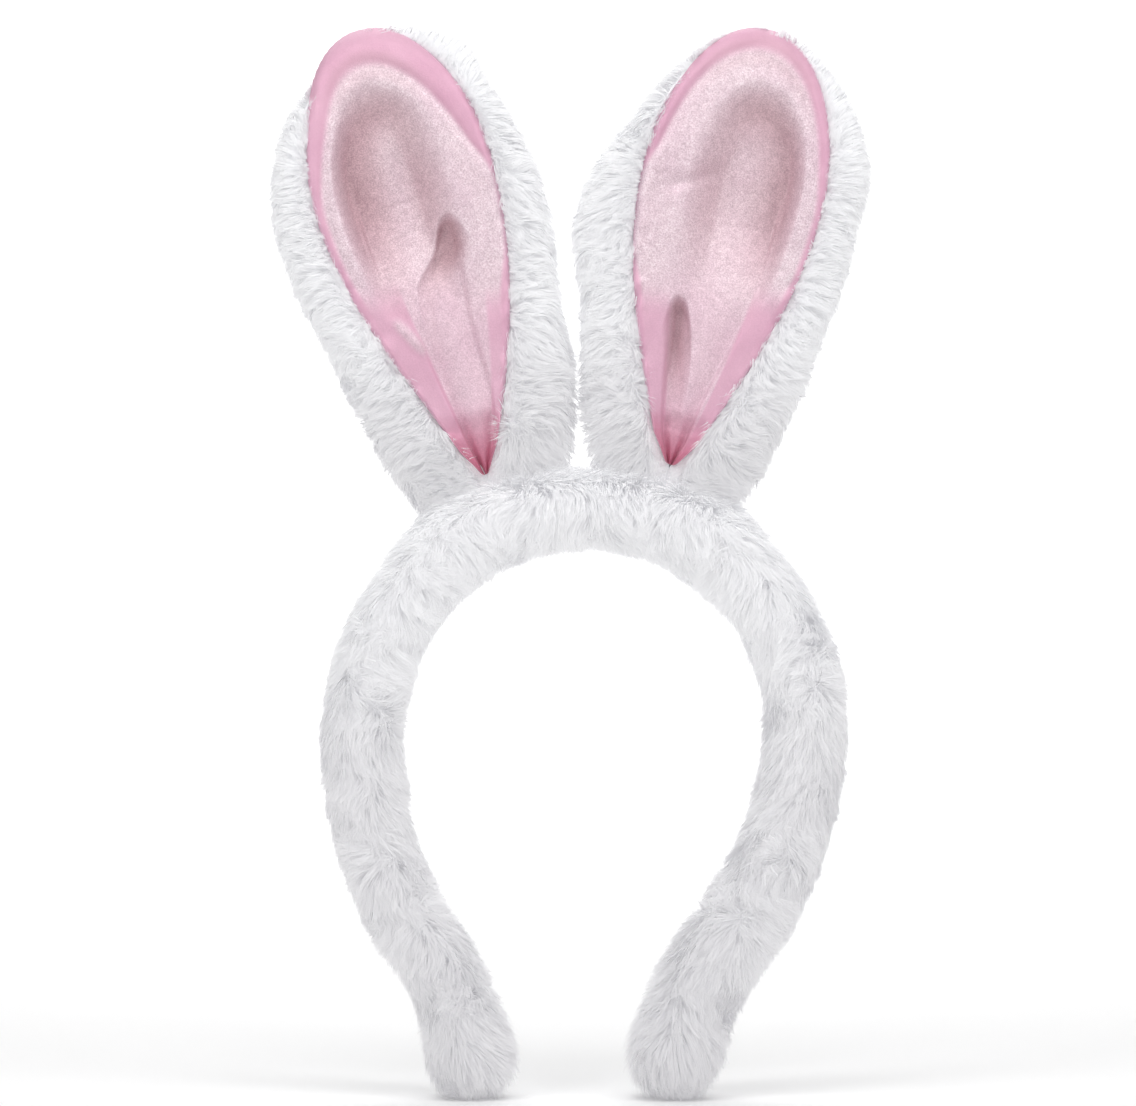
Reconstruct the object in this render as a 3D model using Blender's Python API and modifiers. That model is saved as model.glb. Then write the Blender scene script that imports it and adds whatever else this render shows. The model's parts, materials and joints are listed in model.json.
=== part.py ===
"""Animal ears headband: a padded, plush-covered band that carries two wired ears with satin linings.

Units are metres and +Z is up. The origin is the underside of the band at the top of its arch, where
it rests on the head. The satin side of the ears faces -Y, and "left" is the -X side.

The band is one centre line of three arcs a side. It is cut at two flex lines, where the real plastic
band springs open, so that each arm can turn. Each ear has its own frame: u runs up the ear from the
band, v runs across it, away from the other ear, and w runs from the satin towards the back. An ear
is cut once, at a round knuckle, where its wire bends.
"""

from math import asin, cos, pi, radians, sin, sqrt, tan

import bmesh
import bpy
from mathutils import Vector

# Band: centre line
CROWN_RADIUS = 0.0665
SIDE_RADIUS = 0.108
SIDE_TURN = radians(36)
TIP_RADIUS = 0.088
TIP_TURN = radians(30)

# Band: section, to the mean surface of the pile
BAND_THICK = 0.0245
BAND_DEPTH = 0.028
TIP_SWELL = 1.08
TIP_SWELL_LENGTH = 0.040
TIP_ROUND_LENGTH = 0.011
TIP_ROUND_TURNS = (radians(35), radians(58), radians(76))
SLEEVE_WALL = 0.0055
FOAM_THICK = 0.0112
FOAM_DEPTH = 0.0148
FOAM_TIP_INSET = 0.009
CORE_THICK = 0.002
CORE_WIDTH = 0.010
CORE_TIP_INSET = 0.0105
CORE_TIP_CHAMFER = 0.001
SLOT_CLEARANCE = 0.0004
WIRE_ROOM = 0.0018
THREAD_DIAMETER = 0.0005

# Band: flex lines
FLEX_ANGLE = radians(58)
FLEX_OUT = radians(15.5)
FLEX_IN = radians(4.5)
GAP = 0.0003

# Ear: outline
EAR_ROOT_X = 0.0283
EAR_LEAN = radians(12.7)
EAR_LENGTH = 0.1395
EAR_ROOT_HALF = 0.024
EAR_HALF = 0.0392
EAR_WIDEST = 0.084
SATIN_POINT_HALF = 0.0012
SATIN_HALF = 0.0278
SATIN_WIDEST = 0.092
SATIN_LENGTH = 0.1385
SETTLE_REACH = 0.024

# Ear: section. Depths are shares of the ear's half thickness, and minus is the satin side.
EAR_DEPTH = 0.0115
EAR_WALL = 0.0055
TIP_THINS_FROM = 0.095
LINING_THICK = 0.0008
LINING_INSET = 0.0004
LINING_SHARES = (0.0, 0.3, 0.6, 0.84, 1.0)
SEAM_DEPTH = -0.58
HOLLOW_DEPTH = 0.08
HOLLOW_END = 0.11
PAD_INSET = 0.0044

# Ear: stations up each half
PLUSH_ROOT = 0.0018
LINING_ROOT = 0.0027
THREAD_ROOT = 0.0032
PAD_ROOT = 0.0175
LOWER_STATIONS = (0.006, 0.0122, 0.024, 0.038, 0.052, 0.063)
UPPER_STATIONS = (0.084, 0.096, 0.107, 0.117, 0.125, 0.131, 0.1345, 0.137, 0.1386)
PAD_UPPER_STATIONS = UPPER_STATIONS[:4]

# Ear: joints
TILT_HEIGHT = 0.0022
ROOT_HALF_THICK = 0.002
ROOT_SLOPE = 0.93
BEND_HEIGHT = 0.078
BEND_FORWARD = radians(70)
KNUCKLE_RADIUS = 0.0118
KNUCKLE_GAP = 0.0012

# Ear wire. Each loop is given as (v, w, u) from its middle outwards.
WIRE_DIAMETER = 0.0016
WIRE_INSET = 0.0031
WIRE_DEPTH = -0.05
WIRE_LOWER_LOOP = ((0.0, 0.002, 0.0055), (0.006, 0.002, 0.0085), (0.0135, 0.001, 0.0118))
WIRE_LOWER_STATIONS = (0.0165, 0.024, 0.033, 0.045, 0.057)
WIRE_UPPER_LOOP = ((0.0, 0.0012, 0.1295), (0.0075, 0.0012, 0.1288), (0.014, 0.0008, 0.1262))
WIRE_UPPER_STATIONS = (0.120, 0.113, 0.104, 0.093, 0.083)

# Ear fixings on the crown
ANCHOR_DIAMETER = 0.0014
ANCHOR_FOOT = 0.012
ANCHOR_BEND = 0.008
HOLE_DEPTH = 0.014
STITCH_SHARE = 0.9
STITCH_STEPS = 7

BAND_SIDES = 16
FOAM_SIDES = 8
CROWN_STEPS = 12
ARM_STEPS = 11
SIDES = {"left": -1, "right": 1}

CROWN_CENTRE_Z = BAND_THICK / 2 - CROWN_RADIUS
BAND_OUTER_RADIUS = CROWN_RADIUS + BAND_THICK / 2
FLEX_AT = CROWN_RADIUS * FLEX_ANGLE
BAND_LEGS = (
    (CROWN_RADIUS, CROWN_RADIUS * pi / 2),
    (SIDE_RADIUS, SIDE_RADIUS * SIDE_TURN),
    (-TIP_RADIUS, TIP_RADIUS * TIP_TURN),
)
BAND_HALF_LENGTH = sum(length for radius, length in BAND_LEGS)
FOAM_END = BAND_HALF_LENGTH - FOAM_TIP_INSET
CORE_END = BAND_HALF_LENGTH - CORE_TIP_INSET

# Each material's colour, roughness and metallic value
MATERIALS = {
    "plush": ((0.90, 0.90, 0.92), 0.95, 0.0),
    "satin": ((0.84, 0.52, 0.62), 0.38, 0.0),
    "fibrefill": ((0.93, 0.93, 0.90), 0.90, 0.0),
    "foam": ((0.88, 0.86, 0.76), 0.92, 0.0),
    "plastic": ((0.80, 0.80, 0.78), 0.45, 0.0),
    "wire": ((0.55, 0.55, 0.56), 0.35, 1.0),
    "thread_white": ((0.88, 0.88, 0.88), 0.70, 0.0),
    "thread_pink": ((0.80, 0.42, 0.54), 0.60, 0.0),
}


# ---------------------------------------------------------------- scene and objects


def clear_scene():
    for obj in list(bpy.data.objects):
        bpy.data.objects.remove(obj, do_unlink=True)


def new_collection(name):
    collection = bpy.data.collections.new(name)
    bpy.context.scene.collection.children.link(collection)
    return collection


def new_material(name):
    colour, roughness, metallic = MATERIALS[name]
    material = bpy.data.materials.new(name)
    material.use_nodes = True
    shader = material.node_tree.nodes["Principled BSDF"]
    shader.inputs["Base Color"].default_value = (*colour, 1.0)
    shader.inputs["Roughness"].default_value = roughness
    shader.inputs["Metallic"].default_value = metallic
    material.diffuse_color = (*colour, 1.0)
    return material


def new_empty(name, location, parent=None, turn=0.0):
    """An empty on a joint's axis, turned about Y."""
    empty = bpy.data.objects.new(name, None)
    empty.empty_display_size = 0.01
    empty.location = location
    empty.rotation_euler = (0.0, turn, 0.0)
    empty.parent = parent
    parts.objects.link(empty)
    return empty


def finish_mesh(bm, name, material, parent, collection=None):
    """Turns a closed bmesh into a named, smooth-shaded part under its joint's empty."""
    bmesh.ops.recalc_face_normals(bm, faces=bm.faces)
    mesh = bpy.data.meshes.new(name)
    bm.to_mesh(mesh)
    bm.free()
    mesh.shade_smooth()
    mesh.set_sharp_from_angle(angle=radians(50))
    obj = bpy.data.objects.new(name, mesh)
    obj.data.materials.append(materials[material])
    obj.parent = parent
    (collection or parts).objects.link(obj)
    return obj


def add_wire(name, points, diameter, material, parent, bevel_resolution=2):
    """A round wire or thread through the points, with closed ends."""
    curve = bpy.data.curves.new(name, "CURVE")
    curve.dimensions = "3D"
    curve.bevel_depth = diameter / 2
    curve.bevel_resolution = bevel_resolution
    curve.use_fill_caps = True
    spline = curve.splines.new("POLY")
    spline.points.add(len(points) - 1)
    for spline_point, point in zip(spline.points, points):
        spline_point.co = (*point, 1.0)
    spline.use_smooth = True
    obj = bpy.data.objects.new(name, curve)
    obj.data.materials.append(materials[material])
    obj.parent = parent
    parts.objects.link(obj)
    return obj


# ---------------------------------------------------------------- lofts


def add_rings(bm, rings):
    """Skins a row of closed rings of points, and returns their vertices."""
    rows = [[bm.verts.new(point) for point in ring] for ring in rings]
    for row, after in zip(rows, rows[1:]):
        for i in range(len(row)):
            j = (i + 1) % len(row)
            bm.faces.new((row[i], row[j], after[j], after[i]))
    return rows


def add_wall_end(bm, outer, inner):
    """Closes the end of a tube wall, from its outer ring to its inner one."""
    for i in range(len(outer)):
        j = (i + 1) % len(outer)
        bm.faces.new((outer[i], outer[j], inner[j], inner[i]))


def add_strip_end(bm, row):
    """Closes the end of a strip whose ring goes out along one face and back along the other."""
    last = len(row) - 1
    for i in range(len(row) // 2 - 1):
        bm.faces.new((row[i], row[i + 1], row[last - i - 1], row[last - i]))


def loft_strip(name, rings, material, parent):
    bm = bmesh.new()
    rows = add_rings(bm, rings)
    add_strip_end(bm, rows[0])
    add_strip_end(bm, rows[-1])
    return finish_mesh(bm, name, material, parent)


# ---------------------------------------------------------------- band


def band_point(distance):
    """(x, z, heading) of the centre line, at a distance from its top; minus is the -X side."""
    side = -1 if distance < 0 else 1
    left = abs(distance)
    x, z, heading = 0.0, BAND_THICK / 2, 0.0
    for radius, length in BAND_LEGS:
        step = min(left, length)
        centre_x = x - radius * sin(heading)
        centre_z = z - radius * cos(heading)
        heading += step / radius
        x = centre_x + radius * sin(heading)
        z = centre_z + radius * cos(heading)
        left -= step
    return side * x, z, side * heading


def on_band(distance, out, y, along=0.0):
    """The point at a distance along the band, moved outwards, to +Y and along the band."""
    x, z, heading = band_point(distance)
    return Vector(
        (
            x + out * sin(heading) + along * cos(heading),
            y,
            z + out * cos(heading) - along * sin(heading),
        )
    )


def flex_cut(out):
    """How far a flex line's end face stands back from the line, at a distance out from the middle."""
    half_angle = FLEX_OUT / 2 if out > 0 else FLEX_IN / 2
    return GAP / 2 + abs(out) * tan(half_angle)


def crown_stations():
    return [FLEX_AT * (2 * i / CROWN_STEPS - 1) for i in range(CROWN_STEPS + 1)]


def arm_stations(end):
    return [FLEX_AT + (end - FLEX_AT) * i / ARM_STEPS for i in range(ARM_STEPS + 1)]


def swell(distance):
    """The pile stands fuller towards the tips."""
    share = (distance - (BAND_HALF_LENGTH - TIP_SWELL_LENGTH)) / TIP_SWELL_LENGTH
    return 1 + (TIP_SWELL - 1) * max(0.0, share)


def oval(sides, half_out, half_y):
    angles = [2 * pi * i / sides for i in range(sides)]
    return [(half_out * cos(a), half_y * sin(a)) for a in angles]


def slot(half_out, half_y, roof=0.0):
    """Eight points round a rectangular slot; roof raises the middle of its outer side."""
    return [
        (half_out + roof, 0.0),
        (half_out, half_y),
        (0.0, half_y),
        (-half_out, half_y),
        (-half_out, 0.0),
        (-half_out, -half_y),
        (0.0, -half_y),
        (half_out, -half_y),
    ]


def crown_ring(distance, section):
    """A section of the crown; the first and last stand back from the flex lines."""
    ring = []
    for out, y in section:
        along = 0.0
        if abs(distance) > FLEX_AT - GAP:
            along = -flex_cut(out) if distance > 0 else flex_cut(out)
        ring.append(on_band(distance, out, y, along))
    return ring


def arm_ring(distance, section, side, origin):
    """A section of an arm, from its flex point; the first stands back from the flex line."""
    ring = []
    for out, y in section:
        along = flex_cut(out) if distance < FLEX_AT + GAP else 0.0
        point = on_band(distance, out, y, along)
        ring.append(Vector((side * point.x, point.y, point.z)) - origin)
    return ring


def sleeve_arm_rings(side, origin):
    """Sections of an arm's sleeve: an even tube, and a blunt rounded tip."""
    straight_end = BAND_HALF_LENGTH - TIP_ROUND_LENGTH
    stations = [(d, 1.0) for d in arm_stations(straight_end)]
    for turn in TIP_ROUND_TURNS:
        size = cos(turn) ** 0.7
        stations.append((straight_end + TIP_ROUND_LENGTH * sin(turn), size))
    rings = []
    for distance, size in stations:
        grown = size * swell(distance) / 2
        section = oval(BAND_SIDES, BAND_THICK * grown, BAND_DEPTH * grown)
        rings.append(arm_ring(distance, section, side, origin))
    return rings


def solidify(obj, thickness):
    modifier = obj.modifiers.new("wall", "SOLIDIFY")
    modifier.thickness = thickness
    modifier.offset = -1
    modifier.use_even_offset = True


def drill(obj, cutter):
    modifier = obj.modifiers.new(cutter.name, "BOOLEAN")
    modifier.operation = "DIFFERENCE"
    modifier.object = cutter


def anchor_hole(name, side):
    """A cutter for the ear wire's way out of the core, through the foam and the sleeve."""
    bm = bmesh.new()
    radius = ANCHOR_DIAMETER / 2 + GAP
    bmesh.ops.create_cone(
        bm, cap_ends=True, segments=8, radius1=radius, radius2=radius, depth=HOLE_DEPTH
    )
    cutter = finish_mesh(bm, name, "plastic", None, cutters)
    angle = side * asin(EAR_ROOT_X / BAND_OUTER_RADIUS)
    distance = CROWN_RADIUS + CORE_THICK / 2 + HOLE_DEPTH / 2 + WIRE_DIAMETER
    cutter.location = (distance * sin(angle), 0.0, CROWN_CENTRE_Z + distance * cos(angle))
    cutter.rotation_euler = (0.0, angle, 0.0)
    cutter.hide_render = True
    cutter.display_type = "WIRE"
    return cutter


def add_crown(holes):
    section = oval(BAND_SIDES, BAND_THICK / 2, BAND_DEPTH / 2)
    bm = bmesh.new()
    add_rings(bm, [crown_ring(d, section) for d in crown_stations()])
    sleeve = finish_mesh(bm, "plush_sleeve_crown", "plush", None)
    solidify(sleeve, SLEEVE_WALL)

    outer = [crown_ring(d, foam_section()) for d in crown_stations()]
    inner = [crown_ring(d, core_slot(WIRE_ROOM)) for d in crown_stations()]
    foam = foam_tube("foam_wrap_crown", outer, inner, None)
    for hole in holes:
        drill(sleeve, hole)
        drill(foam, hole)

    core = slot(CORE_THICK / 2, CORE_WIDTH / 2)
    solid_bar("band_core_crown", [crown_ring(d, core) for d in crown_stations()], None)
    seam = [crown_ring(d, [(seam_offset(), 0.0)])[0] for d in crown_stations()]
    add_wire("sleeve_seam_crown", seam, THREAD_DIAMETER, "thread_white", None, 0)


def add_arm(name, side, axis):
    origin = axis.location
    bm = bmesh.new()
    rows = add_rings(bm, sleeve_arm_rings(side, origin))
    bm.faces.new(rows[-1])
    sleeve = finish_mesh(bm, f"plush_sleeve_{name}", "plush", axis)
    solidify(sleeve, SLEEVE_WALL)

    outer = [arm_ring(d, foam_section(), side, origin) for d in arm_stations(FOAM_END)]
    inner = [arm_ring(d, core_slot(), side, origin) for d in arm_stations(FOAM_END)]
    foam_tube(f"foam_wrap_{name}", outer, inner, axis)
    core = slot(CORE_THICK / 2, CORE_WIDTH / 2)
    rings = [arm_ring(d, core, side, origin) for d in arm_stations(CORE_END)]
    narrow = slot(CORE_THICK / 2, CORE_WIDTH / 3)
    rings.append(arm_ring(CORE_END + CORE_TIP_CHAMFER, narrow, side, origin))
    solid_bar(f"band_core_{name}", rings, axis)
    seam = [arm_ring(d, [(seam_offset(), 0.0)], side, origin)[0] for d in arm_stations(FOAM_END)]
    add_wire(f"sleeve_seam_{name}", seam, THREAD_DIAMETER, "thread_white", axis, 0)


def foam_section():
    return oval(FOAM_SIDES, FOAM_THICK / 2, FOAM_DEPTH / 2)


def core_slot(roof=0.0):
    return slot(CORE_THICK / 2 + SLOT_CLEARANCE, CORE_WIDTH / 2 + SLOT_CLEARANCE, roof)


def seam_offset():
    """The sleeve's seam lies inside it, on the head side, half way between the foam and the sleeve."""
    sleeve_inside = BAND_THICK / 2 - SLEEVE_WALL
    return -(sleeve_inside + FOAM_THICK / 2) / 2


def foam_tube(name, outer_rings, inner_rings, parent):
    bm = bmesh.new()
    outer = add_rings(bm, outer_rings)
    inner = add_rings(bm, inner_rings)
    for end in (0, -1):
        add_wall_end(bm, outer[end], inner[end])
    return finish_mesh(bm, name, "foam", parent)


def solid_bar(name, rings, parent):
    bm = bmesh.new()
    rows = add_rings(bm, rings)
    bm.faces.new(rows[0])
    bm.faces.new(rows[-1])
    return finish_mesh(bm, name, "plastic", parent)


# ---------------------------------------------------------------- ear shape


def ear_root_z():
    """The ear stands on the outer surface of the crown."""
    return CROWN_CENTRE_Z + sqrt(BAND_OUTER_RADIUS**2 - EAR_ROOT_X**2)


def root_drop(v):
    """How far the crown's surface lies from the ear's root line, at v across it."""
    across = Vector((cos(EAR_LEAN), -sin(EAR_LEAN)))
    up = Vector((sin(EAR_LEAN), cos(EAR_LEAN)))
    point = Vector((EAR_ROOT_X, ear_root_z() - CROWN_CENTRE_Z)) + across * v
    rise = point.dot(up)
    return -rise + sqrt(rise**2 - point.length_squared + BAND_OUTER_RADIUS**2)


def settled(u, v):
    """u, lowered near the root so that the ear follows the crown's surface."""
    return u + root_drop(v) * max(0.0, 1 - u / SETTLE_REACH)


def half_width(u):
    if u < EAR_WIDEST:
        grown = sin(pi / 2 * (u / EAR_WIDEST) ** 0.85)
        return EAR_ROOT_HALF + (EAR_HALF - EAR_ROOT_HALF) * grown
    share = (u - EAR_WIDEST) / (EAR_LENGTH - EAR_WIDEST)
    return EAR_HALF * sqrt(1 - share**1.7)


def satin_half(u):
    if u < SATIN_WIDEST:
        grown = sin(pi / 2 * (u / SATIN_WIDEST) ** 1.05)
        return SATIN_POINT_HALF + (SATIN_HALF - SATIN_POINT_HALF) * grown
    share = (u - SATIN_WIDEST) / (SATIN_LENGTH - SATIN_WIDEST)
    return max(SATIN_POINT_HALF, SATIN_HALF * sqrt(max(0.0, 1 - share**1.85)))


def half_depth(u):
    """Half the ear's thickness: a wedge at the root, which leaves room to tilt, then even, then round."""
    wedge = ROOT_HALF_THICK + ROOT_SLOPE * max(0.0, u - PLUSH_ROOT)
    share = max(0.0, (u - TIP_THINS_FROM) / (EAR_LENGTH + 0.001 - TIP_THINS_FROM))
    return min(wedge, EAR_DEPTH * sqrt(1 - share**2))


def wall(u):
    """The plush's thickness: less where the ear is thin or its rim is narrow."""
    return min(EAR_WALL, 0.42 * half_depth(u), 0.38 * (half_width(u) - satin_half(u)))


def outer_half(u):
    """The plush's outer face on one side, as (v, w): from the middle of the back, round to the satin."""
    width, satin, depth = half_width(u), satin_half(u), half_depth(u)
    rim = width - satin
    return [
        (0.0, depth),
        (0.5 * width, 0.9 * depth),
        (0.86 * width, 0.5 * depth),
        (width, -0.1 * depth),
        (satin + 0.8 * rim, -0.78 * depth),
        (satin + 0.45 * rim, -depth),
        (satin, -0.6 * depth),
    ]


def inner_half(u):
    """The plush's inner face: the outer one moved in by the wall, along each point's own normal."""
    points = [Vector(p) for p in outer_half(u)]
    mirrored = Vector((-points[1].x, points[1].y))
    beyond = points[-1] * 2 - points[-2]
    row = [mirrored, *points, beyond]
    inner = []
    for before, point, after in zip(row, row[1:], row[2:]):
        run = (after - before).normalized()
        inner.append(point + Vector((run.y, -run.x)) * wall(u))
    return [(p.x, p.y) for p in inner]


def across_row(v, row):
    """w on a row of (v, w) points, in order of v, at v."""
    for (v0, w0), (v1, w1) in zip(row, row[1:]):
        if v <= v1:
            return w0 + (w1 - w0) * (v - v0) / (v1 - v0)
    return row[-1][1]


def lining_face(u, x):
    """The satin's front, as (v, w), at a share x of the way from its middle to its seam."""
    edge = satin_half(u) - LINING_INSET
    hollow = HOLLOW_DEPTH - 10 * max(0.0, u - HOLLOW_END)
    share = SEAM_DEPTH + (hollow - SEAM_DEPTH) * (1 - abs(x) ** 2.2)
    return x * edge, share * half_depth(u)


def both_sides(half):
    """A half row from the middle outwards, made whole from -v to +v."""
    return [(-v, w) for v, w in reversed(half[1:])] + list(half)


def plush_section(u):
    outer = both_sides(outer_half(u))
    inner = both_sides(inner_half(u))
    return outer + inner[::-1]


def lining_section(u):
    front = both_sides([lining_face(u, x) for x in LINING_SHARES])
    return front + [(v, w + LINING_THICK) for v, w in front[::-1]]


def pad_half(u):
    """How far the filling reaches to each side; the wire runs beyond it."""
    return half_width(u) - wall(u) - PAD_INSET


def pad_section(u):
    """The filling: it fills the plush behind the lining, less the gap to each."""
    inner = inner_half(u)
    back_row = inner[:4]
    hem_v, hem_w = inner[-1]
    reach = pad_half(u)
    seam = satin_half(u) - LINING_INSET
    body = min(seam, reach - 0.001)
    half = [(x * body, lining_face(u, x * body / seam)[1] + LINING_THICK) for x in LINING_SHARES]
    half.append((min(hem_v, (body + reach) / 2), hem_w))
    half.append((reach, hem_w))
    front = both_sides([(v, w + 2 * GAP) for v, w in half])
    back = both_sides([(v, across_row(v, back_row) - 2 * GAP) for v, w in half])
    return front + back[::-1]


def knuckle_bottom(w):
    """The upper half ends in a cylinder about the bend's axis."""
    return BEND_HEIGHT - sqrt(KNUCKLE_RADIUS**2 - w**2)


def knuckle_socket(w):
    """The lower half ends in a socket for it, cut back in front for the forward bend."""
    radius = KNUCKLE_RADIUS + KNUCKLE_GAP
    tangent_w = -radius * cos(BEND_FORWARD)
    if w > tangent_w:
        return BEND_HEIGHT - sqrt(radius**2 - w**2)
    return BEND_HEIGHT - radius * sin(BEND_FORWARD) + (tangent_w - w) / tan(BEND_FORWARD)


# ---------------------------------------------------------------- ear pieces


def ear_local(side, v, w, u, base):
    return Vector((side * v, w, settled(u, v) - base))


def ear_rings(section, stations, side, base, end=None):
    """Sections up the ear; end is (index, profile) for the ring that meets the knuckle."""
    rings = []
    for i, u in enumerate(stations):
        ring = []
        for v, w in section(u):
            height = end[1](w) if end and i == end[0] else u
            ring.append(ear_local(side, v, w, height, base))
        rings.append(ring)
    return rings


def lower_rings(section, stations, side):
    stations = [*stations, BEND_HEIGHT]
    return ear_rings(section, stations, side, TILT_HEIGHT, (len(stations) - 1, knuckle_socket))


def upper_rings(section, stations, side):
    return ear_rings(section, [BEND_HEIGHT, *stations], side, BEND_HEIGHT, (0, knuckle_bottom))


def wire_rim(u):
    """The wire's place beside the filling, at u."""
    return half_width(u) - wall(u) - WIRE_INSET, WIRE_DEPTH * half_depth(u), u


def wire_end(height):
    """The wire's end at the knuckle, at the height that the profile gives."""
    v, w, u = wire_rim(BEND_HEIGHT)
    return v, w, height(w)


def mirrored_path(half):
    """A path from its far -v end through the middle to its far +v end."""
    return [(-v, w, u) for v, w, u in reversed(half)] + [p for p in half if p[0] > 0]


def wire_path_lower():
    half = [*WIRE_LOWER_LOOP, *(wire_rim(u) for u in WIRE_LOWER_STATIONS)]
    half.append(wire_end(lambda w: knuckle_socket(w) - GAP))
    return mirrored_path(half)


def wire_path_upper():
    half = [*WIRE_UPPER_LOOP, *(wire_rim(u) for u in WIRE_UPPER_STATIONS)]
    half.append(wire_end(lambda w: knuckle_bottom(w) + GAP))
    return mirrored_path(half)


def seam_point(u):
    """The stitching lies just in front of the edge where the satin meets the plush."""
    return satin_half(u) - 0.0006, (SEAM_DEPTH - 0.04) * half_depth(u) - THREAD_DIAMETER, u


def seam_path(stations, height):
    """The stitching round one half of the satin; height gives its ends' place at the knuckle."""
    half = [seam_point(u) for u in stations]
    v, w, u = seam_point(BEND_HEIGHT)
    half.append((v, w, height(w)))
    return [(-v, w, u) for v, w, u in reversed(half)] + half


def ear_path(path, side, base):
    return [ear_local(side, v, w, u, base) for v, w, u in path]


def add_ear(name, side):
    tilt_origin = Vector((side * EAR_ROOT_X, 0.0, ear_root_z()))
    tilt_origin += Vector((side * sin(EAR_LEAN), 0.0, cos(EAR_LEAN))) * TILT_HEIGHT
    tilt = new_empty(f"{name}_ear_tilt_axis", tilt_origin, turn=side * EAR_LEAN)
    bend_offset = (0.0, 0.0, BEND_HEIGHT - TILT_HEIGHT)
    bend = new_empty(f"{name}_ear_tip_bend_axis", bend_offset, parent=tilt)

    rings = lower_rings(plush_section, (PLUSH_ROOT, *LOWER_STATIONS), side)
    loft_strip(f"{name}_ear_plush_lower", rings, "plush", tilt)
    rings = upper_rings(plush_section, UPPER_STATIONS, side)
    loft_strip(f"{name}_ear_plush_upper", rings, "plush", bend)

    rings = lower_rings(lining_section, (LINING_ROOT, *LOWER_STATIONS), side)
    loft_strip(f"{name}_ear_lining_lower", rings, "satin", tilt)
    rings = upper_rings(lining_section, UPPER_STATIONS[:-1], side)
    loft_strip(f"{name}_ear_lining_upper", rings, "satin", bend)

    rings = lower_rings(pad_section, (PAD_ROOT, *LOWER_STATIONS[2:]), side)
    loft_strip(f"{name}_ear_pad_lower", rings, "fibrefill", tilt)
    rings = upper_rings(pad_section, PAD_UPPER_STATIONS, side)
    loft_strip(f"{name}_ear_pad_upper", rings, "fibrefill", bend)

    path = ear_path(wire_path_lower(), side, TILT_HEIGHT)
    add_wire(f"{name}_ear_wire_lower", path, WIRE_DIAMETER, "wire", tilt)
    path = ear_path(wire_path_upper(), side, BEND_HEIGHT)
    add_wire(f"{name}_ear_wire_upper", path, WIRE_DIAMETER, "wire", bend)

    stations = (THREAD_ROOT, *LOWER_STATIONS)
    path = ear_path(seam_path(stations, lambda w: knuckle_socket(w) - GAP), side, TILT_HEIGHT)
    add_wire(f"{name}_ear_seam_lower", path, THREAD_DIAMETER, "thread_pink", tilt, 0)
    stations = UPPER_STATIONS[-2::-1]
    path = ear_path(seam_path(stations, lambda w: knuckle_bottom(w) + GAP), side, BEND_HEIGHT)
    add_wire(f"{name}_ear_seam_upper", path, THREAD_DIAMETER, "thread_pink", bend, 0)


def add_root_fixings(name, side):
    """What holds an ear to the crown: its wire's foot on the core, and the stitching under it."""
    root_angle = asin(EAR_ROOT_X / BAND_OUTER_RADIUS)
    foot_out = CORE_THICK / 2 + GAP + ANCHOR_DIAMETER / 2
    angles = [root_angle - ANCHOR_FOOT / CROWN_RADIUS * (1 - i / 4) for i in range(4)]
    angles.append(root_angle - ANCHOR_BEND)
    path = [on_band(CROWN_RADIUS * a, foot_out, 0.0) for a in angles]
    for out in (foot_out + 0.0010, foot_out + 0.0040, BAND_THICK / 2 - 0.0002):
        path.append(on_band(CROWN_RADIUS * root_angle, out, 0.0))
    points = [Vector((side * p.x, p.y, p.z)) for p in path]
    add_wire(f"{name}_wire_anchor", points, ANCHOR_DIAMETER, "wire", None)

    out = BAND_THICK / 2 + GAP + THREAD_DIAMETER / 2
    reach = STITCH_SHARE * EAR_ROOT_HALF / BAND_OUTER_RADIUS
    angles = [root_angle + reach * (2 * i / STITCH_STEPS - 1) for i in range(STITCH_STEPS + 1)]
    line = [on_band(CROWN_RADIUS * a, out, 0.0) for a in angles]
    points = [Vector((side * p.x, p.y, p.z)) for p in line]
    add_wire(f"{name}_ear_base_stitch", points, THREAD_DIAMETER, "thread_white", None, 0)


clear_scene()
parts = new_collection("animal_ears_headband")
cutters = new_collection("cutters")
materials = {name: new_material(name) for name in MATERIALS}

add_crown([anchor_hole(f"{name}_anchor_hole", side) for name, side in SIDES.items()])
for name, side in SIDES.items():
    flex_point = on_band(side * FLEX_AT, 0.0, 0.0)
    flex = new_empty(f"{name}_arm_flex_axis", flex_point)
    add_arm(name, side, flex)
    add_ear(name, side)
    add_root_fixings(name, side)
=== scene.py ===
"""Looks of the animal ears headband: plush pile on the band and the ears, and satin linings.

Units are metres, +Z is up, and the ears' satin faces -Y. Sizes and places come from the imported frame:
the band's three arcs are fitted to its boxes and joints, and each ear has its own frame, in which u
runs up the ear, v runs across it away from the other ear, and w runs from the satin to the back.
"""

import json
from collections import namedtuple
from math import atan2, cos, hypot, pi, radians, sin, sqrt

import bpy
import numpy as np
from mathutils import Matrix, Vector
from mathutils.kdtree import KDTree


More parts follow.
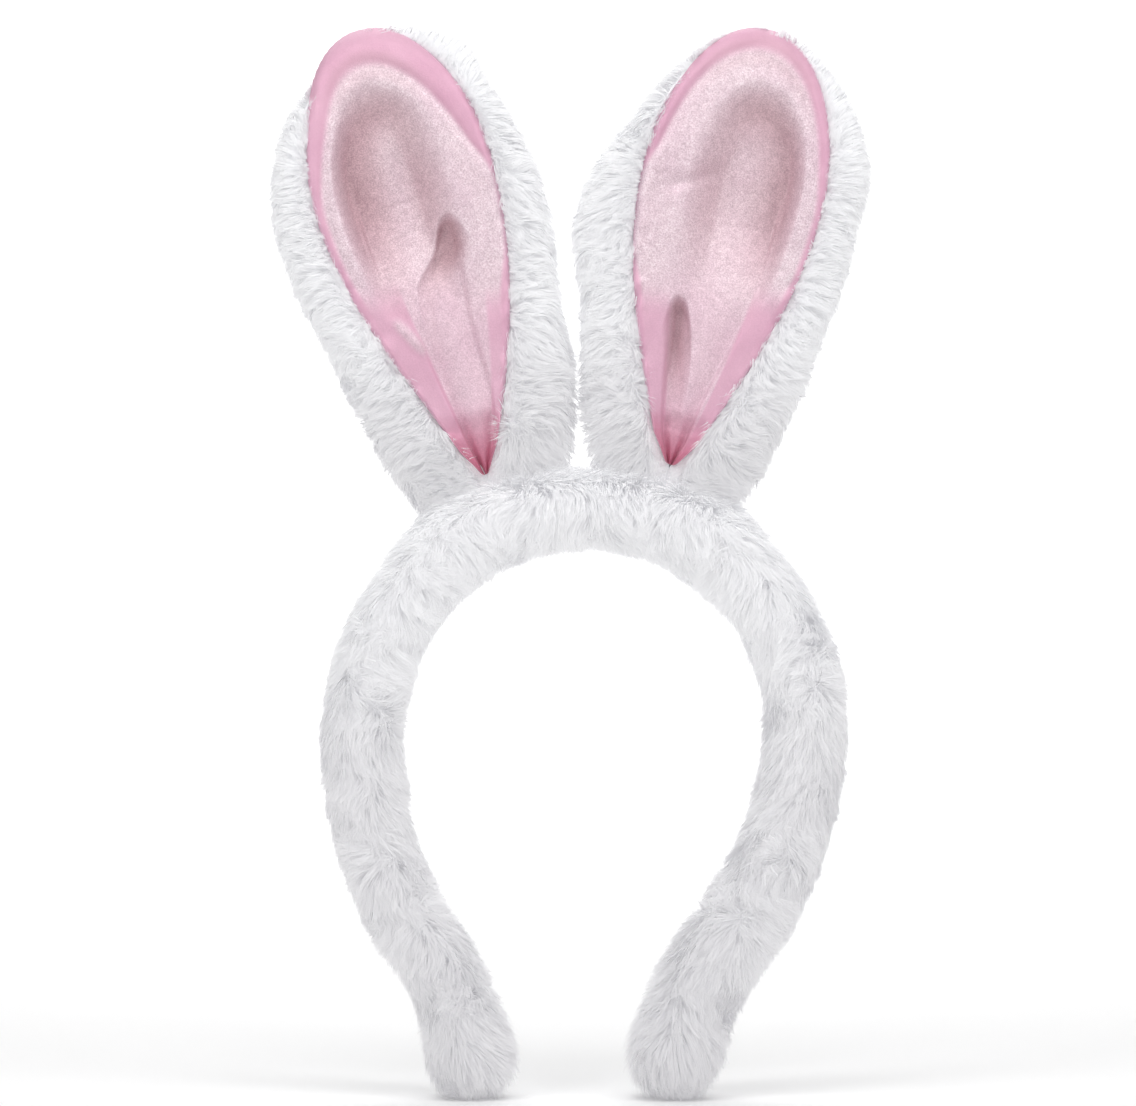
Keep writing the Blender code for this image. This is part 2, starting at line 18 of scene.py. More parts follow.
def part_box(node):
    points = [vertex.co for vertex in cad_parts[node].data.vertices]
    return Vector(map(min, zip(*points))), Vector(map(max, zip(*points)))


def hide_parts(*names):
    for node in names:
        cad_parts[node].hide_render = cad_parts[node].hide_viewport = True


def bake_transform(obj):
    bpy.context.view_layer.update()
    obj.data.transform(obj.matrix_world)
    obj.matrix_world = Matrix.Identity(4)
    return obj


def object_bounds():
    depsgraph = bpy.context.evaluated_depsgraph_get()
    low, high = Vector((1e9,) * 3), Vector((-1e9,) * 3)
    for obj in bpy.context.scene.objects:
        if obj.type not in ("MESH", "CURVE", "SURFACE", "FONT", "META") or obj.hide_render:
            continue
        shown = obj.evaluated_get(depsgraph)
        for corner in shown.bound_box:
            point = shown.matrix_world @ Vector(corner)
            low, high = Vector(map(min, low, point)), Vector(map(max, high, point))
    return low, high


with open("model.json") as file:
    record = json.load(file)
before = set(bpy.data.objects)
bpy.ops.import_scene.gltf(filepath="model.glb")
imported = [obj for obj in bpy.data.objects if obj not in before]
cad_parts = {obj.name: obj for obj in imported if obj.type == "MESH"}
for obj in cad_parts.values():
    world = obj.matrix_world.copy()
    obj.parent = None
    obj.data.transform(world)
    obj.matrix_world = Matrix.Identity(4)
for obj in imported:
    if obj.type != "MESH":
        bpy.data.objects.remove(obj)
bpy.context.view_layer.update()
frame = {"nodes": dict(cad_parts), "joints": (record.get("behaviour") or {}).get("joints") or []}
JOINTS = {joint["name"]: joint["pos_m"] for joint in frame["joints"]}
FLEX_X, _, FLEX_Z = JOINTS["right_arm_flex"]
TILT_X, _, TILT_Z = JOINTS["right_ear_tilt"]
BEND_X, _, BEND_Z = JOINTS["right_ear_tip_bend"]

SIDES = {"left": -1, "right": 1}

# Band: its section and crown arc from the frame, then the two arcs of an arm
BAND_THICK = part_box("plush_sleeve_crown")[1].z
BAND_DEPTH = 2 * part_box("plush_sleeve_crown")[1].y
FLEX_FALL = BAND_THICK / 2 - FLEX_Z
FLEX_ANGLE = 2 * atan2(FLEX_FALL, FLEX_X)
CROWN_RADIUS = FLEX_X / sin(FLEX_ANGLE)
CROWN_CENTRE_Z = BAND_THICK / 2 - CROWN_RADIUS
BAND_OUTER_RADIUS = CROWN_RADIUS + BAND_THICK / 2
SIDE_RADIUS = 0.108
SIDE_TURN = radians(36)
TIP_RADIUS = 0.088
TIP_TURN = radians(30)
BAND_LEGS = (
    (CROWN_RADIUS, CROWN_RADIUS * pi / 2),
    (SIDE_RADIUS, SIDE_RADIUS * SIDE_TURN),
    (-TIP_RADIUS, TIP_RADIUS * TIP_TURN),
)
BAND_HALF_LENGTH = sum(length for radius, length in BAND_LEGS)
BAND_TIP_ROUND = 0.011
SHOULDER_RISE = 0.0030

# Foam under the sleeve
FOAM_THICK = 0.0112
FOAM_DEPTH = 0.0148
FOAM_TIP_INSET = 0.009
FOAM_TIP_ROUND = 0.005

# Ear: its root and lean from the frame, then its outline
TILT_HEIGHT = 0.0022
EAR_LEAN = atan2(BEND_X - TILT_X, BEND_Z - TILT_Z)
EAR_ROOT_X = TILT_X - TILT_HEIGHT * sin(EAR_LEAN)
EAR_ROOT_Z = TILT_Z - TILT_HEIGHT * cos(EAR_LEAN)
EAR_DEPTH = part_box("right_ear_plush_upper")[1].y
EAR_LENGTH = 0.1395
EAR_ROOT_HALF = 0.024
EAR_HALF = 0.0392
EAR_WIDEST = 0.084
EAR_CLOSING = 0.118

# Satin face: its outline, its flat cut and the depths of its relief
SATIN_POINT_HALF = 0.0012
SATIN_HALF = 0.0278
SATIN_WIDEST = 0.092
SATIN_LENGTH = 0.1405
SATIN_ARCH = 1.85
SATIN_ROOT = {-1: 0.0032, 1: 0.0062}
SATIN_FRONT = 0.93
RIM_DROP = 0.0034
GROOVE_DEPTH = 0.0008
HOLLOW_DEPTH = 0.0084
HOLLOW_DEPTH_TOP = 0.0064
STRIP_DEPTH = 0.0014
FIRST_FOLD_DEPTH = 0.0015
SECOND_FOLD_DEPTH = 0.0017
DIMPLE_DEPTH = 0.0040
POCKET_DEPTH = 0.0030

# Inside an ear: filling, wire and threads
PAD_ROOT = 0.0175
PAD_END = 0.130
PAD_SHARE = 0.93
WIRE_INSET = 0.0086
WIRE_DIAMETER = 0.0016
THREAD_DIAMETER = 0.0005
BAND_STITCH = 0.0032
EAR_STITCH = 0.0028
STITCH_SHARE = 0.8

# Pile: how far the skin lies under the outline, and what stands on it
BAND_INSET = 0.0042
EAR_INSET = 0.0026
BAND_PILE = 0.0074
EAR_PILE = 0.0058
BAND_STRANDS = 104000
EAR_STRANDS = 86000
STRANDS_A_PIECE = 38000
STRAND_POINTS = 4
STRAND_WIDTH = 0.00021
TUFT_SIZE = 0.0024
TUFT_GATHER = 0.32
RUFFLE = 0.34
SKIN_SHADING = 0.75
# Strength of the painted glow: the pile and its ground emit light, standing in for light passed between
# the fibres.
PILE_GLOW = 0.135


def smooth(value):
    """From 0 to 1 with level ends, for values from 0 to 1."""
    value = np.clip(value, 0.0, 1.0)
    return value * value * (3 - 2 * value)


def rises(value, start, reach):
    """0 up to start and 1 from start + reach on."""
    return smooth((value - start) / reach)


def falls(value, end, reach):
    """1 down to end - reach and 0 from end on."""
    return smooth((end - value) / reach)


def bell(value, centre, reach):
    """1 at centre, and fading on both sides of it."""
    return np.exp(-(((value - centre) / reach) ** 2))


def unit(vectors):
    """The same vectors at length 1."""
    size = np.linalg.norm(vectors, axis=-1, keepdims=True)
    return vectors / np.maximum(size, 1e-9)


# ---------------- smooth random fields


def make_noise(seed, scale, octaves=1):
    """A smooth random vector field of three parts, from -1 to 1, with features about scale across."""
    rng = np.random.default_rng(seed)
    count = 14
    waves = []
    for octave in range(octaves):
        direction = unit(rng.normal(size=(count, 3)))
        wavelength = scale / 2**octave * rng.uniform(0.8, 1.6, count)
        phase = rng.uniform(0, 2 * pi, (count, 3))
        amount = 0.5**octave * sqrt(2 / count)
        waves.append((direction * (2 * pi / wavelength)[:, None], phase, amount))

    def field(points):
        total = np.zeros((len(points), 3))
        for direction, phase, amount in waves:
            angle = points @ direction.T
            total += amount * np.sin(angle[:, :, None] + phase[None]).sum(axis=1)
        return total

    return field


# ---------------- grids, meshes and their normals


class Grid:
    """A surface as rows and columns of points, with fields of the same shape on it."""

    def __init__(self, points, wrap, out=1):
        self.points = points
        self.wrap = wrap
        self.out = out
        self.fields = {"normal": grid_normals(points, wrap) * out}

    def cells(self):
        """Row, column and next column of each face."""
        rows, columns = self.points.shape[:2]
        i, j = np.indices((rows - 1, columns if self.wrap else columns - 1)).reshape(2, -1)
        return i, j, (j + 1) % columns

    def faces(self, close_ends, first=0):
        """Quads, and a face over each end if wanted, for a mesh in which its points start at first."""
        rows, columns = self.points.shape[:2]
        i, j, k = self.cells()
        low, high = first + i * columns, first + (i + 1) * columns
        faces = np.stack([low + j, low + k, high + k, high + j], axis=1).tolist()
        if close_ends:
            faces.append(list(range(first, first + columns))[::-1])
            faces.append(list(range(first + (rows - 1) * columns, first + rows * columns)))
        return faces if self.out > 0 else [face[::-1] for face in faces]

    def lay(self, name, value):
        """A field of one value each, from anything that fits the rows and columns."""
        self.fields[name] = np.broadcast_to(value, (*self.points.shape[:2], 1)).copy()

    def scatter(self, count, rng, weight=None):
        """Random places on it, even by area or by a weight field; gives each field's value there."""
        i, j, k = self.cells()
        p = self.points
        across = p[i, k] - p[i, j]
        along = p[i + 1, j] - p[i, j]
        area = np.linalg.norm(np.cross(across, along), axis=1)
        if weight is not None:
            area = area * weight[i, j]
        cell = rng.choice(len(area), size=count, p=area / area.sum())
        s, t = rng.random((2, count, 1))
        i, j, k = i[cell], j[cell], k[cell]

        def mix(values):
            low = values[i, j] * (1 - s) + values[i, k] * s
            high = values[i + 1, j] * (1 - s) + values[i + 1, k] * s
            return low * (1 - t) + high * t

        found = {name: mix(values) for name, values in self.fields.items()}
        found["normal"] = unit(found["normal"])
        return mix(p), found


def grid_normals(points, wrap):
    """Unit normals across the rows and columns, on the side that their order gives."""
    if wrap:
        across = np.roll(points, -1, axis=1) - np.roll(points, 1, axis=1)
    else:
        across = np.gradient(points, axis=1)
    along = np.gradient(points, axis=0)
    return unit(np.cross(across, along))


def new_object(name, mesh, material):
    mesh.polygons.foreach_set("use_smooth", [True] * len(mesh.polygons))
    mesh.materials.append(material)
    obj = bpy.data.objects.new(name, mesh)
    bpy.context.scene.collection.objects.link(obj)
    return obj


def mesh_object(name, verts, faces, material):
    mesh = bpy.data.meshes.new(name)
    mesh.from_pydata(verts, [], faces)
    mesh.update()
    return new_object(name, mesh, material)


def grid_object(name, grid, material, close_ends=False):
    return mesh_object(name, grid.points.reshape(-1, 3).tolist(), grid.faces(close_ends), material)


def add_field(obj, name, values):
    """A value at each of a mesh's points, for its material to read."""
    attribute = obj.data.attributes.new(name, "FLOAT", "POINT")
    attribute.data.foreach_set("value", np.ascontiguousarray(values, np.float32).ravel())


# ---------------- pile


def nearest(points, centres):
    """The index of the nearest centre to each point."""
    tree = KDTree(len(centres))
    for index, centre in enumerate(centres):
        tree.insert(centre, index)
    tree.balance()
    return np.array([tree.find(point)[1] for point in points])


def strand_curve(roots, normal, comb, length, lift, bend):
    """Points along strands that leave a skin along its normal and turn over to the comb."""
    t = np.linspace(0.0, 1.0, STRAND_POINTS)[None, :, None]
    rise = normal[:, None] * (lift[:, None, None] * t - 0.35 * lift[:, None, None] * bend * t * t)
    lay = comb[:, None] * (0.25 * t + 0.75 * t * t) * bend
    return roots[:, None] + length[:, None, None] * (rise + lay)


def make_strands(grid, count, seed, flow=300, weight=None):
    """Strands as (count, points, 3), with each one's tone, its painted shade and the skin's normal there.
    """
    rng = np.random.default_rng(seed)
    roots, found = grid.scatter(count, rng, weight)
    tufts = max(50, int(count / 26 * (0.0032 / TUFT_SIZE) ** 2))
    heads = rng.choice(count, size=tufts, replace=False)
    tuft_of = nearest(roots, roots[heads])

    swirl = make_noise(flow, 0.022)(roots)
    ripple = make_noise(flow + 1, 0.008)(roots)
    normal = found["normal"]
    own_ruffle = rng.normal(size=(count, 3)) * RUFFLE * 0.5
    tuft_ruffle = (rng.normal(size=(tufts, 3)) * RUFFLE * 0.75)[tuft_of]
    comb = found["comb"] + found["swirl"] * swirl * 0.5 + ripple * 0.25

    def lie(extra):
        direction = comb + extra
        direction = direction - normal * (direction * normal).sum(1, keepdims=True)
        return unit(direction)

    long = found["length"][:, 0]
    bend = found["bend"][:, None]
    lift = rng.uniform(0.75, 1.12, count)
    own_long = long * rng.uniform(0.72, 1.1, count)
    own = strand_curve(roots, normal, lie(own_ruffle + tuft_ruffle), own_long, lift, bend)

    tuft_long = rng.uniform(0.86, 1.16, tufts)[tuft_of]
    tuft_lift = rng.uniform(0.84, 1.10, tufts)[tuft_of]
    head_roots = roots[heads][tuft_of]
    head_normal = normal[heads][tuft_of]
    head_comb = lie(tuft_ruffle)[heads][tuft_of]
    led = strand_curve(head_roots, head_normal, head_comb, long * tuft_long, tuft_lift, bend)

    t = np.linspace(0.0, 1.0, STRAND_POINTS)[None, :, None]
    share = TUFT_GATHER * rng.uniform(0.55, 1.0, count)[:, None, None] * t**1.5
    near = np.linalg.norm(roots - head_roots, axis=1)
    share = share * np.clip(1.6 - near / TUFT_SIZE, 0.0, 1.0)[:, None, None]
    strands = own * (1 - share) + led * share
    tone = rng.uniform(0.0, 1.0, count) * 0.6 + rng.uniform(0, 1, tufts)[tuft_of] * 0.4
    return strands, tone, found["painted_shade"][:, 0], normal


def blade_faces(count, points):
    """Corners and sizes of the faces of count blades: quads up each one, and a triangle at its tip."""
    each = 2 * points - 1
    corners = []
    for k in range(points - 2):
        corners += [2 * k, 2 * k + 1, 2 * k + 3, 2 * k + 2]
    corners += [each - 3, each - 2, each - 1]
    loops = (np.arange(count)[:, None] * each + np.array(corners)[None]).ravel()
    return loops, np.tile([4] * (points - 2) + [3], count)


def blade_mesh(name, verts):
    """One mesh of blades, from (blades, points on each blade's outline, 3)."""
    count, each = verts.shape[:2]
    loops, sizes = blade_faces(count, (each + 1) // 2)
    starts = np.concatenate([[0], np.cumsum(sizes)[:-1]])
    mesh = bpy.data.meshes.new(name)
    mesh.vertices.add(count * each)
    mesh.vertices.foreach_set("co", verts.astype(np.float32).ravel())
    mesh.loops.add(len(loops))
    mesh.loops.foreach_set("vertex_index", loops.astype(np.int32))
    mesh.polygons.add(len(sizes))
    mesh.polygons.foreach_set("loop_start", starts.astype(np.int32))
    mesh.update(calc_edges=True)
    return mesh


def strands_object(name, strands, tone, painted_shade, normal, seed, material):
    """Flat tapering blades, one for each strand, shaded mostly as the skin that they stand on."""
    rng = np.random.default_rng(seed)
    count, points = strands.shape[:2]
    along = unit(np.gradient(strands, axis=1))
    side = unit(np.cross(along, normal[:, None]))
    other = np.cross(along, side)
    turn = rng.normal(0.0, 0.55, count)[:, None, None]
    side = side * np.cos(turn) + other * np.sin(turn)
    taper = np.array([1.0, 0.92, 0.66])[None, :, None]
    half = side[:, :-1] * taper * (STRAND_WIDTH * rng.uniform(0.7, 1.25, count) / 2)[:, None, None]
    verts = np.empty((count, 2 * points - 1, 3))
    verts[:, 0:-1:2] = strands[:, :-1] - half
    verts[:, 1:-1:2] = strands[:, :-1] + half
    verts[:, -1] = strands[:, -1]
    mesh = blade_mesh(name, verts)
    obj = new_object(name, mesh, material)

    facing = unit(np.cross(side, along))
    soft = unit(SKIN_SHADING * normal[:, None] + (1 - SKIN_SHADING) * facing)
    soft = np.concatenate([np.repeat(soft[:, :-1], 2, axis=1), soft[:, -1:]], axis=1)
    mesh.normals_split_custom_set_from_vertices(soft.reshape(-1, 3).tolist())
    height = np.concatenate([np.repeat(np.linspace(0, 1, points)[:-1], 2), [1.0]])
    each = verts.shape[1]
    add_field(obj, "tone", np.repeat(tone[:, None], each, axis=1))
    # Painted shade: how much darker each strand is coloured, for the material.
    add_field(obj, "painted_shade", np.repeat(painted_shade[:, None], each, axis=1))
    add_field(obj, "height", np.repeat(height[None], count, axis=0))
    return obj


# ---------------- band


def band_frame(distance):
    """x, z and heading along the centre line from its top, on the +X side, for an array."""
    x = heading = np.zeros_like(distance)
    z = np.full_like(distance, BAND_THICK / 2)
    for radius, length in BAND_LEGS:
        step = np.clip(distance, 0.0, length)
        centre_x = x - radius * np.sin(heading)
        centre_z = z - radius * np.cos(heading)
        heading = heading + step / radius
        x = centre_x + radius * np.sin(heading)
        z = centre_z + radius * np.cos(heading)
        distance = distance - step
    return x, z, heading


def sway(z):
    """The worn band's arms hang a little to one side."""
    return -0.004 * falls(z, -0.02, 0.14)


def fullness(side, z):
    """The pile is fuller on one arm than on the other, and fuller at both tips."""
    low = bell(z, -0.118, 0.035)
    tips = falls(z, -0.128, 0.03)
    return 1 + (0.11 if side > 0 else -0.07) * low + 0.10 * tips


def band_surface(side, distance, angle, half_out, half_y, raised=0.0):
    """Points round the band's centre line, at the given half sizes of its section."""
    x, z, heading = band_frame(distance)
    outer = np.clip(np.cos(angle), 0, 1)[None]
    out = half_out[:, None] * np.cos(angle)[None] + np.reshape(raised, (-1, 1)) * outer
    y = half_y[:, None] * np.sin(angle)[None]
    px = side * (x[:, None] + out * np.sin(heading)[:, None])
    pz = z[:, None] + out * np.cos(heading)[:, None]
    return np.stack([px + sway(pz), y, pz], axis=-1)


def rounded_end(end, reach, steps, count):
    """Distances to the end, and the section's share there, closing in a round nose."""
    turn = np.linspace(0.1, 1.45, steps)
    nose = end - reach + reach * np.sin(turn)
    distance = np.concatenate([np.linspace(0.0, end - reach, count), nose])
    size = np.ones_like(distance)
    size[-steps:] = np.cos(turn) ** 0.6
    return distance, size


def band_grid(side, inset):
    """The skin of one half of the band, that far under its outline, with its distances and angles."""
    distance, size = rounded_end(BAND_HALF_LENGTH - 0.0015, BAND_TIP_ROUND, 10, 150)
    angle = np.linspace(0, 2 * pi, 56, endpoint=False)
    z = band_frame(distance)[1]
    grown = fullness(side, z)
    half_out = (BAND_THICK / 2 * grown - inset) * size
    half_y = (BAND_DEPTH / 2 * grown - inset) * size
    shoulder = SHOULDER_RISE * bell(z, 0.0010, 0.008)
    points = band_surface(side, distance, angle, half_out, half_y, shoulder)
    return Grid(points, wrap=True, out=-side), distance, angle


def towards(shape, x=0.0, y=0.0, z=0.0):
    """A field of directions, from parts that each fit the grid's rows and columns."""
    return np.stack([np.broadcast_to(part, shape) for part in (x, y, z)], axis=-1)


def comb_band(grid, side, distance, angle):
    """The pile hangs down, opens outwards and runs along the band to its tips."""
    _, z, heading = band_frame(distance)
    shape = grid.points.shape[:2]
    along = towards(shape, x=side * np.cos(heading)[:, None], z=-np.sin(heading)[:, None])
    tip = rises(distance, BAND_HALF_LENGTH - 0.03, 0.03)[:, None, None]
    from_top = smooth(distance / 0.03)[:, None, None]
    on_top = np.clip(np.cos(angle), 0, 1)[None, :, None] * np.cos(heading)[:, None, None]
    aside = towards(shape, x=0.4 * (1 - from_top[..., 0]), y=0.5 * np.sign(np.sin(angle))[None])
    opening = along * (0.15 + 0.35 * on_top) * from_top + aside * on_top
    # Painted shade: the pile is coloured darker down the arms, more so below their middle, where less
    # light falls.
    painted_shade = falls(z, -0.01, 0.07) * 0.7 + 0.3 * falls(z, -0.1, 0.05)
    inner = np.clip(-np.cos(angle), 0, 1)[None, :, None]
    grid.fields["comb"] = towards(shape, z=-1.0) * 0.9 + opening + along * 1.2 * tip
    grid.lay("painted_shade", painted_shade[:, None, None])
    grid.lay("length", BAND_PILE + 0.0006 * inner + 0.001 * tip)
    grid.lay("bend", 0.95 - 0.1 * inner)
    grid.lay("swirl", 1.0)


# ---------------- ears


def outline(u, root_half, half, widest, length, swell, arch):
    """A half width at u: it swells from the root to its widest place, and closes in an arch."""
    grown = np.sin(pi / 2 * (np.clip(u, 0, widest) / widest) ** swell)
    share = np.clip((u - widest) / (length - widest), 0, 1)
    return np.where(u < widest, root_half + (half - root_half) * grown, half * np.sqrt(1 - share**arch))


def half_width(u):
    return outline(u, EAR_ROOT_HALF, EAR_HALF, EAR_WIDEST, EAR_LENGTH, 0.85, 1.7)


def satin_half(u):
    return outline(u, SATIN_POINT_HALF, SATIN_HALF, SATIN_WIDEST, SATIN_LENGTH, 1.05, SATIN_ARCH)


def half_depth(u):
    """Half the ear's thickness at u: a wedge at its root, then full, then closing round its end."""
    wedge = 0.0045 + 0.45 * np.clip(u, 0, None)
    share = np.clip((u - 0.095) / (EAR_LENGTH + 0.001 - 0.095), 0, 1)
    return np.minimum(wedge, EAR_DEPTH * np.sqrt(1 - share**2))


def root_drop(v):
    """How far the crown's surface lies from the ear's root line, at v across it."""
    px = EAR_ROOT_X + cos(EAR_LEAN) * v
    pz = EAR_ROOT_Z - CROWN_CENTRE_Z - sin(EAR_LEAN) * v
    rise = px * sin(EAR_LEAN) + pz * cos(EAR_LEAN)
    inside = np.clip(rise**2 - px**2 - pz**2 + BAND_OUTER_RADIUS**2, 0, None)
    return -rise + np.sqrt(inside)


def lean_aside(side, u, on_satin):
    """Both ears hang to one side, each in its own way."""
    if side < 0:
        satin = -0.0010 - 0.0052 * smooth(u / 0.1) - 0.0020 * rises(u, 0.11, 0.03)
        plush = -0.0014 - 0.0056 * smooth(u / 0.105) + 0.0036 * rises(u, 0.112, 0.022)
    else:
        satin = -0.0045 + 0 * u
        plush = -0.0045 - 0.0014 * rises(u, 0.03, 0.04) + 0.0036 * rises(u, 0.085, 0.02)
    return plush * (1 - on_satin) + satin * on_satin


def ear_world(side, v, w, u, on_satin=0.0):
    """Rows of the ear's own v, w and u as points in the frame."""
    settled = u + root_drop(v) * np.clip(1 - u / 0.024, 0, 1)
    lean = side * EAR_LEAN
    x = side * EAR_ROOT_X + side * v * cos(lean) + settled * sin(lean)
    z = EAR_ROOT_Z - side * v * sin(lean) + settled * cos(lean)
    return np.stack([x + lean_aside(side, u, on_satin), w, z], axis=-1)


def ease(points, count):
    """A smooth curve of count samples through control points, or through many such rows at once."""
    padded = np.concatenate([2 * points[:1] - points[1:2], points, 2 * points[-1:] - points[-2:-1]])
    spans = len(points) - 1
    where = np.linspace(0, spans, count)
    index = np.minimum(where.astype(int), spans - 1)
    t = (where - index).reshape(-1, *([1] * (points.ndim - 1)))
    a, b, c, d = (padded[index + k] for k in range(4))
    square = 2 * a - 5 * b + 4 * c - d
    cube = 3 * b - a - 3 * c + d
    return 0.5 * (2 * b + (c - a) * t + square * t**2 + cube * t**3)


def ear_section(u, inset):
    """Half of the plush's section at each u, from the middle of the back to under the satin."""
    width = half_width(u)
    width = width - np.minimum(inset, 0.45 * width)
    depth = half_depth(u)
    depth = depth - np.minimum(inset, 0.55 * depth)
    satin = np.minimum(satin_half(u) - 0.0004, width * 0.96)
    rim = width - satin
    controls = [
        (0 * u, depth),
        (0.5 * width, 0.9 * depth),
        (0.86 * width, 0.5 * depth),
        (width, -0.1 * depth),
        (satin + 0.8 * rim, -0.74 * depth),
        (satin + 0.42 * rim, -0.96 * depth),
        (satin, -0.75 * depth),
        (np.maximum(satin - 0.003, 0), -0.35 * depth),
    ]
    return np.stack([np.stack(pair, axis=-1) for pair in controls])


def ear_fullness(side, v, u):
    """How far the skin stands to the +v side of its outline, on the inner and the outer side."""
    low = falls(u, 0.075, 0.03)
    tip = rises(u, 0.110, 0.022)
    if side < 0:
        inner = 0.0026 * low - 0.0012 * (1 - low) - 0.0044 * tip - 0.0030 * falls(u, 0.075, 0.055)
    else:
        inner = 0.0026 * low - 0.0002 * (1 - low) - 0.0004 * tip
        inner = inner - 0.0009 * (1 - rises(u, 0.078, 0.015)) - 0.0023 * bell(u, 0.069, 0.018)
    middle = smooth(u / 0.03) * (1 - rises(u, 0.115, 0.02))
    outer = (0.0005 if side < 0 else 0.0010) * middle - 0.0024 * low - 0.0020 * falls(u, 0.014, 0.014)
    reach = smooth(np.abs(v) / half_width(u))
    return np.where(v < 0, inner, outer) * reach


def ear_grid(side, inset):
    """The skin of an ear's plush, under the pile, from its root to its end and from hem to hem."""
    shrink = 1 - inset * 0.45 / EAR_LENGTH
    end = EAR_CLOSING + (EAR_LENGTH - EAR_CLOSING) * np.sin(np.linspace(0.08, 1.5, 18))
    u = np.concatenate([np.linspace(-0.002, EAR_CLOSING, 84), end])
    half = ease(ear_section(u, inset), 44)
    right = np.moveaxis(half, 0, 1)
    left = right[:, ::-1] * np.array([-1, 1])
    section = np.concatenate([left, right[:, 1:]], axis=1)
    height = np.broadcast_to((u * shrink)[:, None], section.shape[:2])
    across = np.linspace(-1, 1, section.shape[1])
    sewn = rises(np.abs(across), 0.55, 0.35)[None]
    v = section[..., 0] + ear_fullness(side, section[..., 0], height) * (1 - sewn)
    points = ear_world(side, v, section[..., 1], height, sewn)
    return Grid(points, wrap=False, out=-side), u, across


def comb_ear(grid, side, u, across):
    """The pile opens away from the satin in front, and hangs down on the back."""
    shape = grid.points.shape[:2]
    outward = towards(shape, x=side * np.sign(across)[None])
    front = rises(np.abs(across), 0.45, 0.2)[None, :, None]
    low = falls(u, 0.075, 0.05)[:, None, None]
    tip = rises(u, 0.1, 0.03)[:, None, None]
    root = falls(u, 0.034, 0.014)[:, None, None]
    end = rises(u, 0.116, 0.014)[:, None, None]
    hem = rises(np.abs(across), 0.74, 0.10)[None, :, None]
    upward = 1.3 * tip * front + 1.25 * end * (1 - front)
    falling = towards(shape, z=-1.0) * (0.75 - 0.45 * front + 0.15 * low - upward)
    turned_in = outward * hem * (0.1 + 1.2 * low - 0.35 * root)
    grid.fields["comb"] = outward * (0.35 + 0.75 * front) + falling - turned_in
    grid.lay("length", EAR_PILE + 0.0006 * low - 0.001 * tip - 0.001 * end - 0.0012 * hem * (1 - low))
    grid.lay("bend", 0.85)
    grid.lay("swirl", 0.35 + 0.65 * low)
    # Painted shade: the pile is coloured darker near the ear's root.
    grid.lay("painted_shade", 0.75 * falls(u, 0.05, 0.03)[:, None, None])


# ---------------- satin


Rim = namedtuple("Rim", "low at_top at_inner_top")
Tuck = namedtuple("Tuck", "top place full fading tail")
Fold = namedtuple("Fold", "place turn top")
Mark = namedtuple("Mark", "place height slant reach width rise")
Face = namedtuple("Face", "rim tuck inner_clean first second marks")

# What the two satin faces don't share. A place is a share of the half width, a height is up the ear.
FACES = {
    -1: Face(
        rim=Rim(0.86, 0.05, 0.07),
        tuck=Tuck(0.0815, -0.37, 0.009, 0.018, 0.24),
        inner_clean=-0.62,
        first=Fold(-0.36, -0.40, 0.078),
        second=Fold(0.35, 0.03, 0.055),
        marks=(
            Mark(0.52, 0.047, 0.35, 0.0060, 0.0018, 0.0012),
            Mark(0.10, 0.0865, 1.6, 0.006, 0.0006, -0.0002),
            Mark(0.12, 0.0770, -1.4, 0.006, 0.0006, -0.0002),
            Mark(-0.55, 0.050, -0.9, 0.003, 0.0007, -0.0003),
        ),
    ),
    1: Face(
        rim=Rim(0.885, 0.01, 0.02),
        tuck=Tuck(0.0570, -0.37, 0.012, 0.030, 0.0),
        inner_clean=-0.44,
        first=Fold(-0.36, -0.22, 0.054),
        second=Fold(0.50, -0.14, 0.060),
        marks=(
            Mark(-0.44, 0.0905, 1.05, 0.0085, 0.0022, -0.0013),
            Mark(0.2, 0.080, 1.5, 0.006, 0.0006, -0.0002),
            Mark(0.72, 0.069, 1.2, 0.003, 0.0008, -0.0004),
        ),
    ),
}


def crease(x, place, gentle, steep):
    """A fold's share across x: it drops steeply before its place and comes up gently after it."""
    t = x - place
    return np.where(t > 0, np.exp(-((t / gentle) ** 2)), np.exp(-((t / steep) ** 2)))


def satin_radius(x, u):
    """How near a point is to the satin's edge, 1 on it, and its place across and up in the upper half."""
    share = np.clip((u - SATIN_WIDEST) / (SATIN_LENGTH - SATIN_WIDEST), 0, 1)
    v = x * np.sqrt(np.clip(1 - share**SATIN_ARCH, 0, 1))
    return np.sqrt(v**2 + share**SATIN_ARCH), v, share


def rim_edge(side, u, v):
    """Where the rolled rim ends, as a share of the satin's radius; the rim keeps its own pink, without
    painted sheen.
    """
    rim = FACES[side].rim
    inner = smooth(0.5 - v)
    top = rises(u, 0.090, 0.025)
    middle = rises(u, 0.052, 0.018) * (1 - rises(u, 0.086, 0.016))
    thin = 0.11 * middle * (0.35 + 0.65 * inner)
    return rim.low - rim.at_top * top - rim.at_inner_top * top * inner + thin


def hollow(x, u):
    """The bowl in the upper half, from 0 to 1: steep at its top and outer side."""
    _, v, share = satin_radius(x, u)
    across = v - 0.12
    outer = smooth(across / 0.7 + 0.5)
    reach = 0.68 - 0.04 * outer
    top = rises(u, 0.098, 0.022)
    wall = (0.76 - 0.46 * outer) * (1 - top) + 0.36 * top
    inner = np.sqrt((across / reach) ** 2 + (share / 0.68) ** 2)
    end = rises(u, 0.046, 0.045)
    return smooth((1.0 - inner) / wall) * end


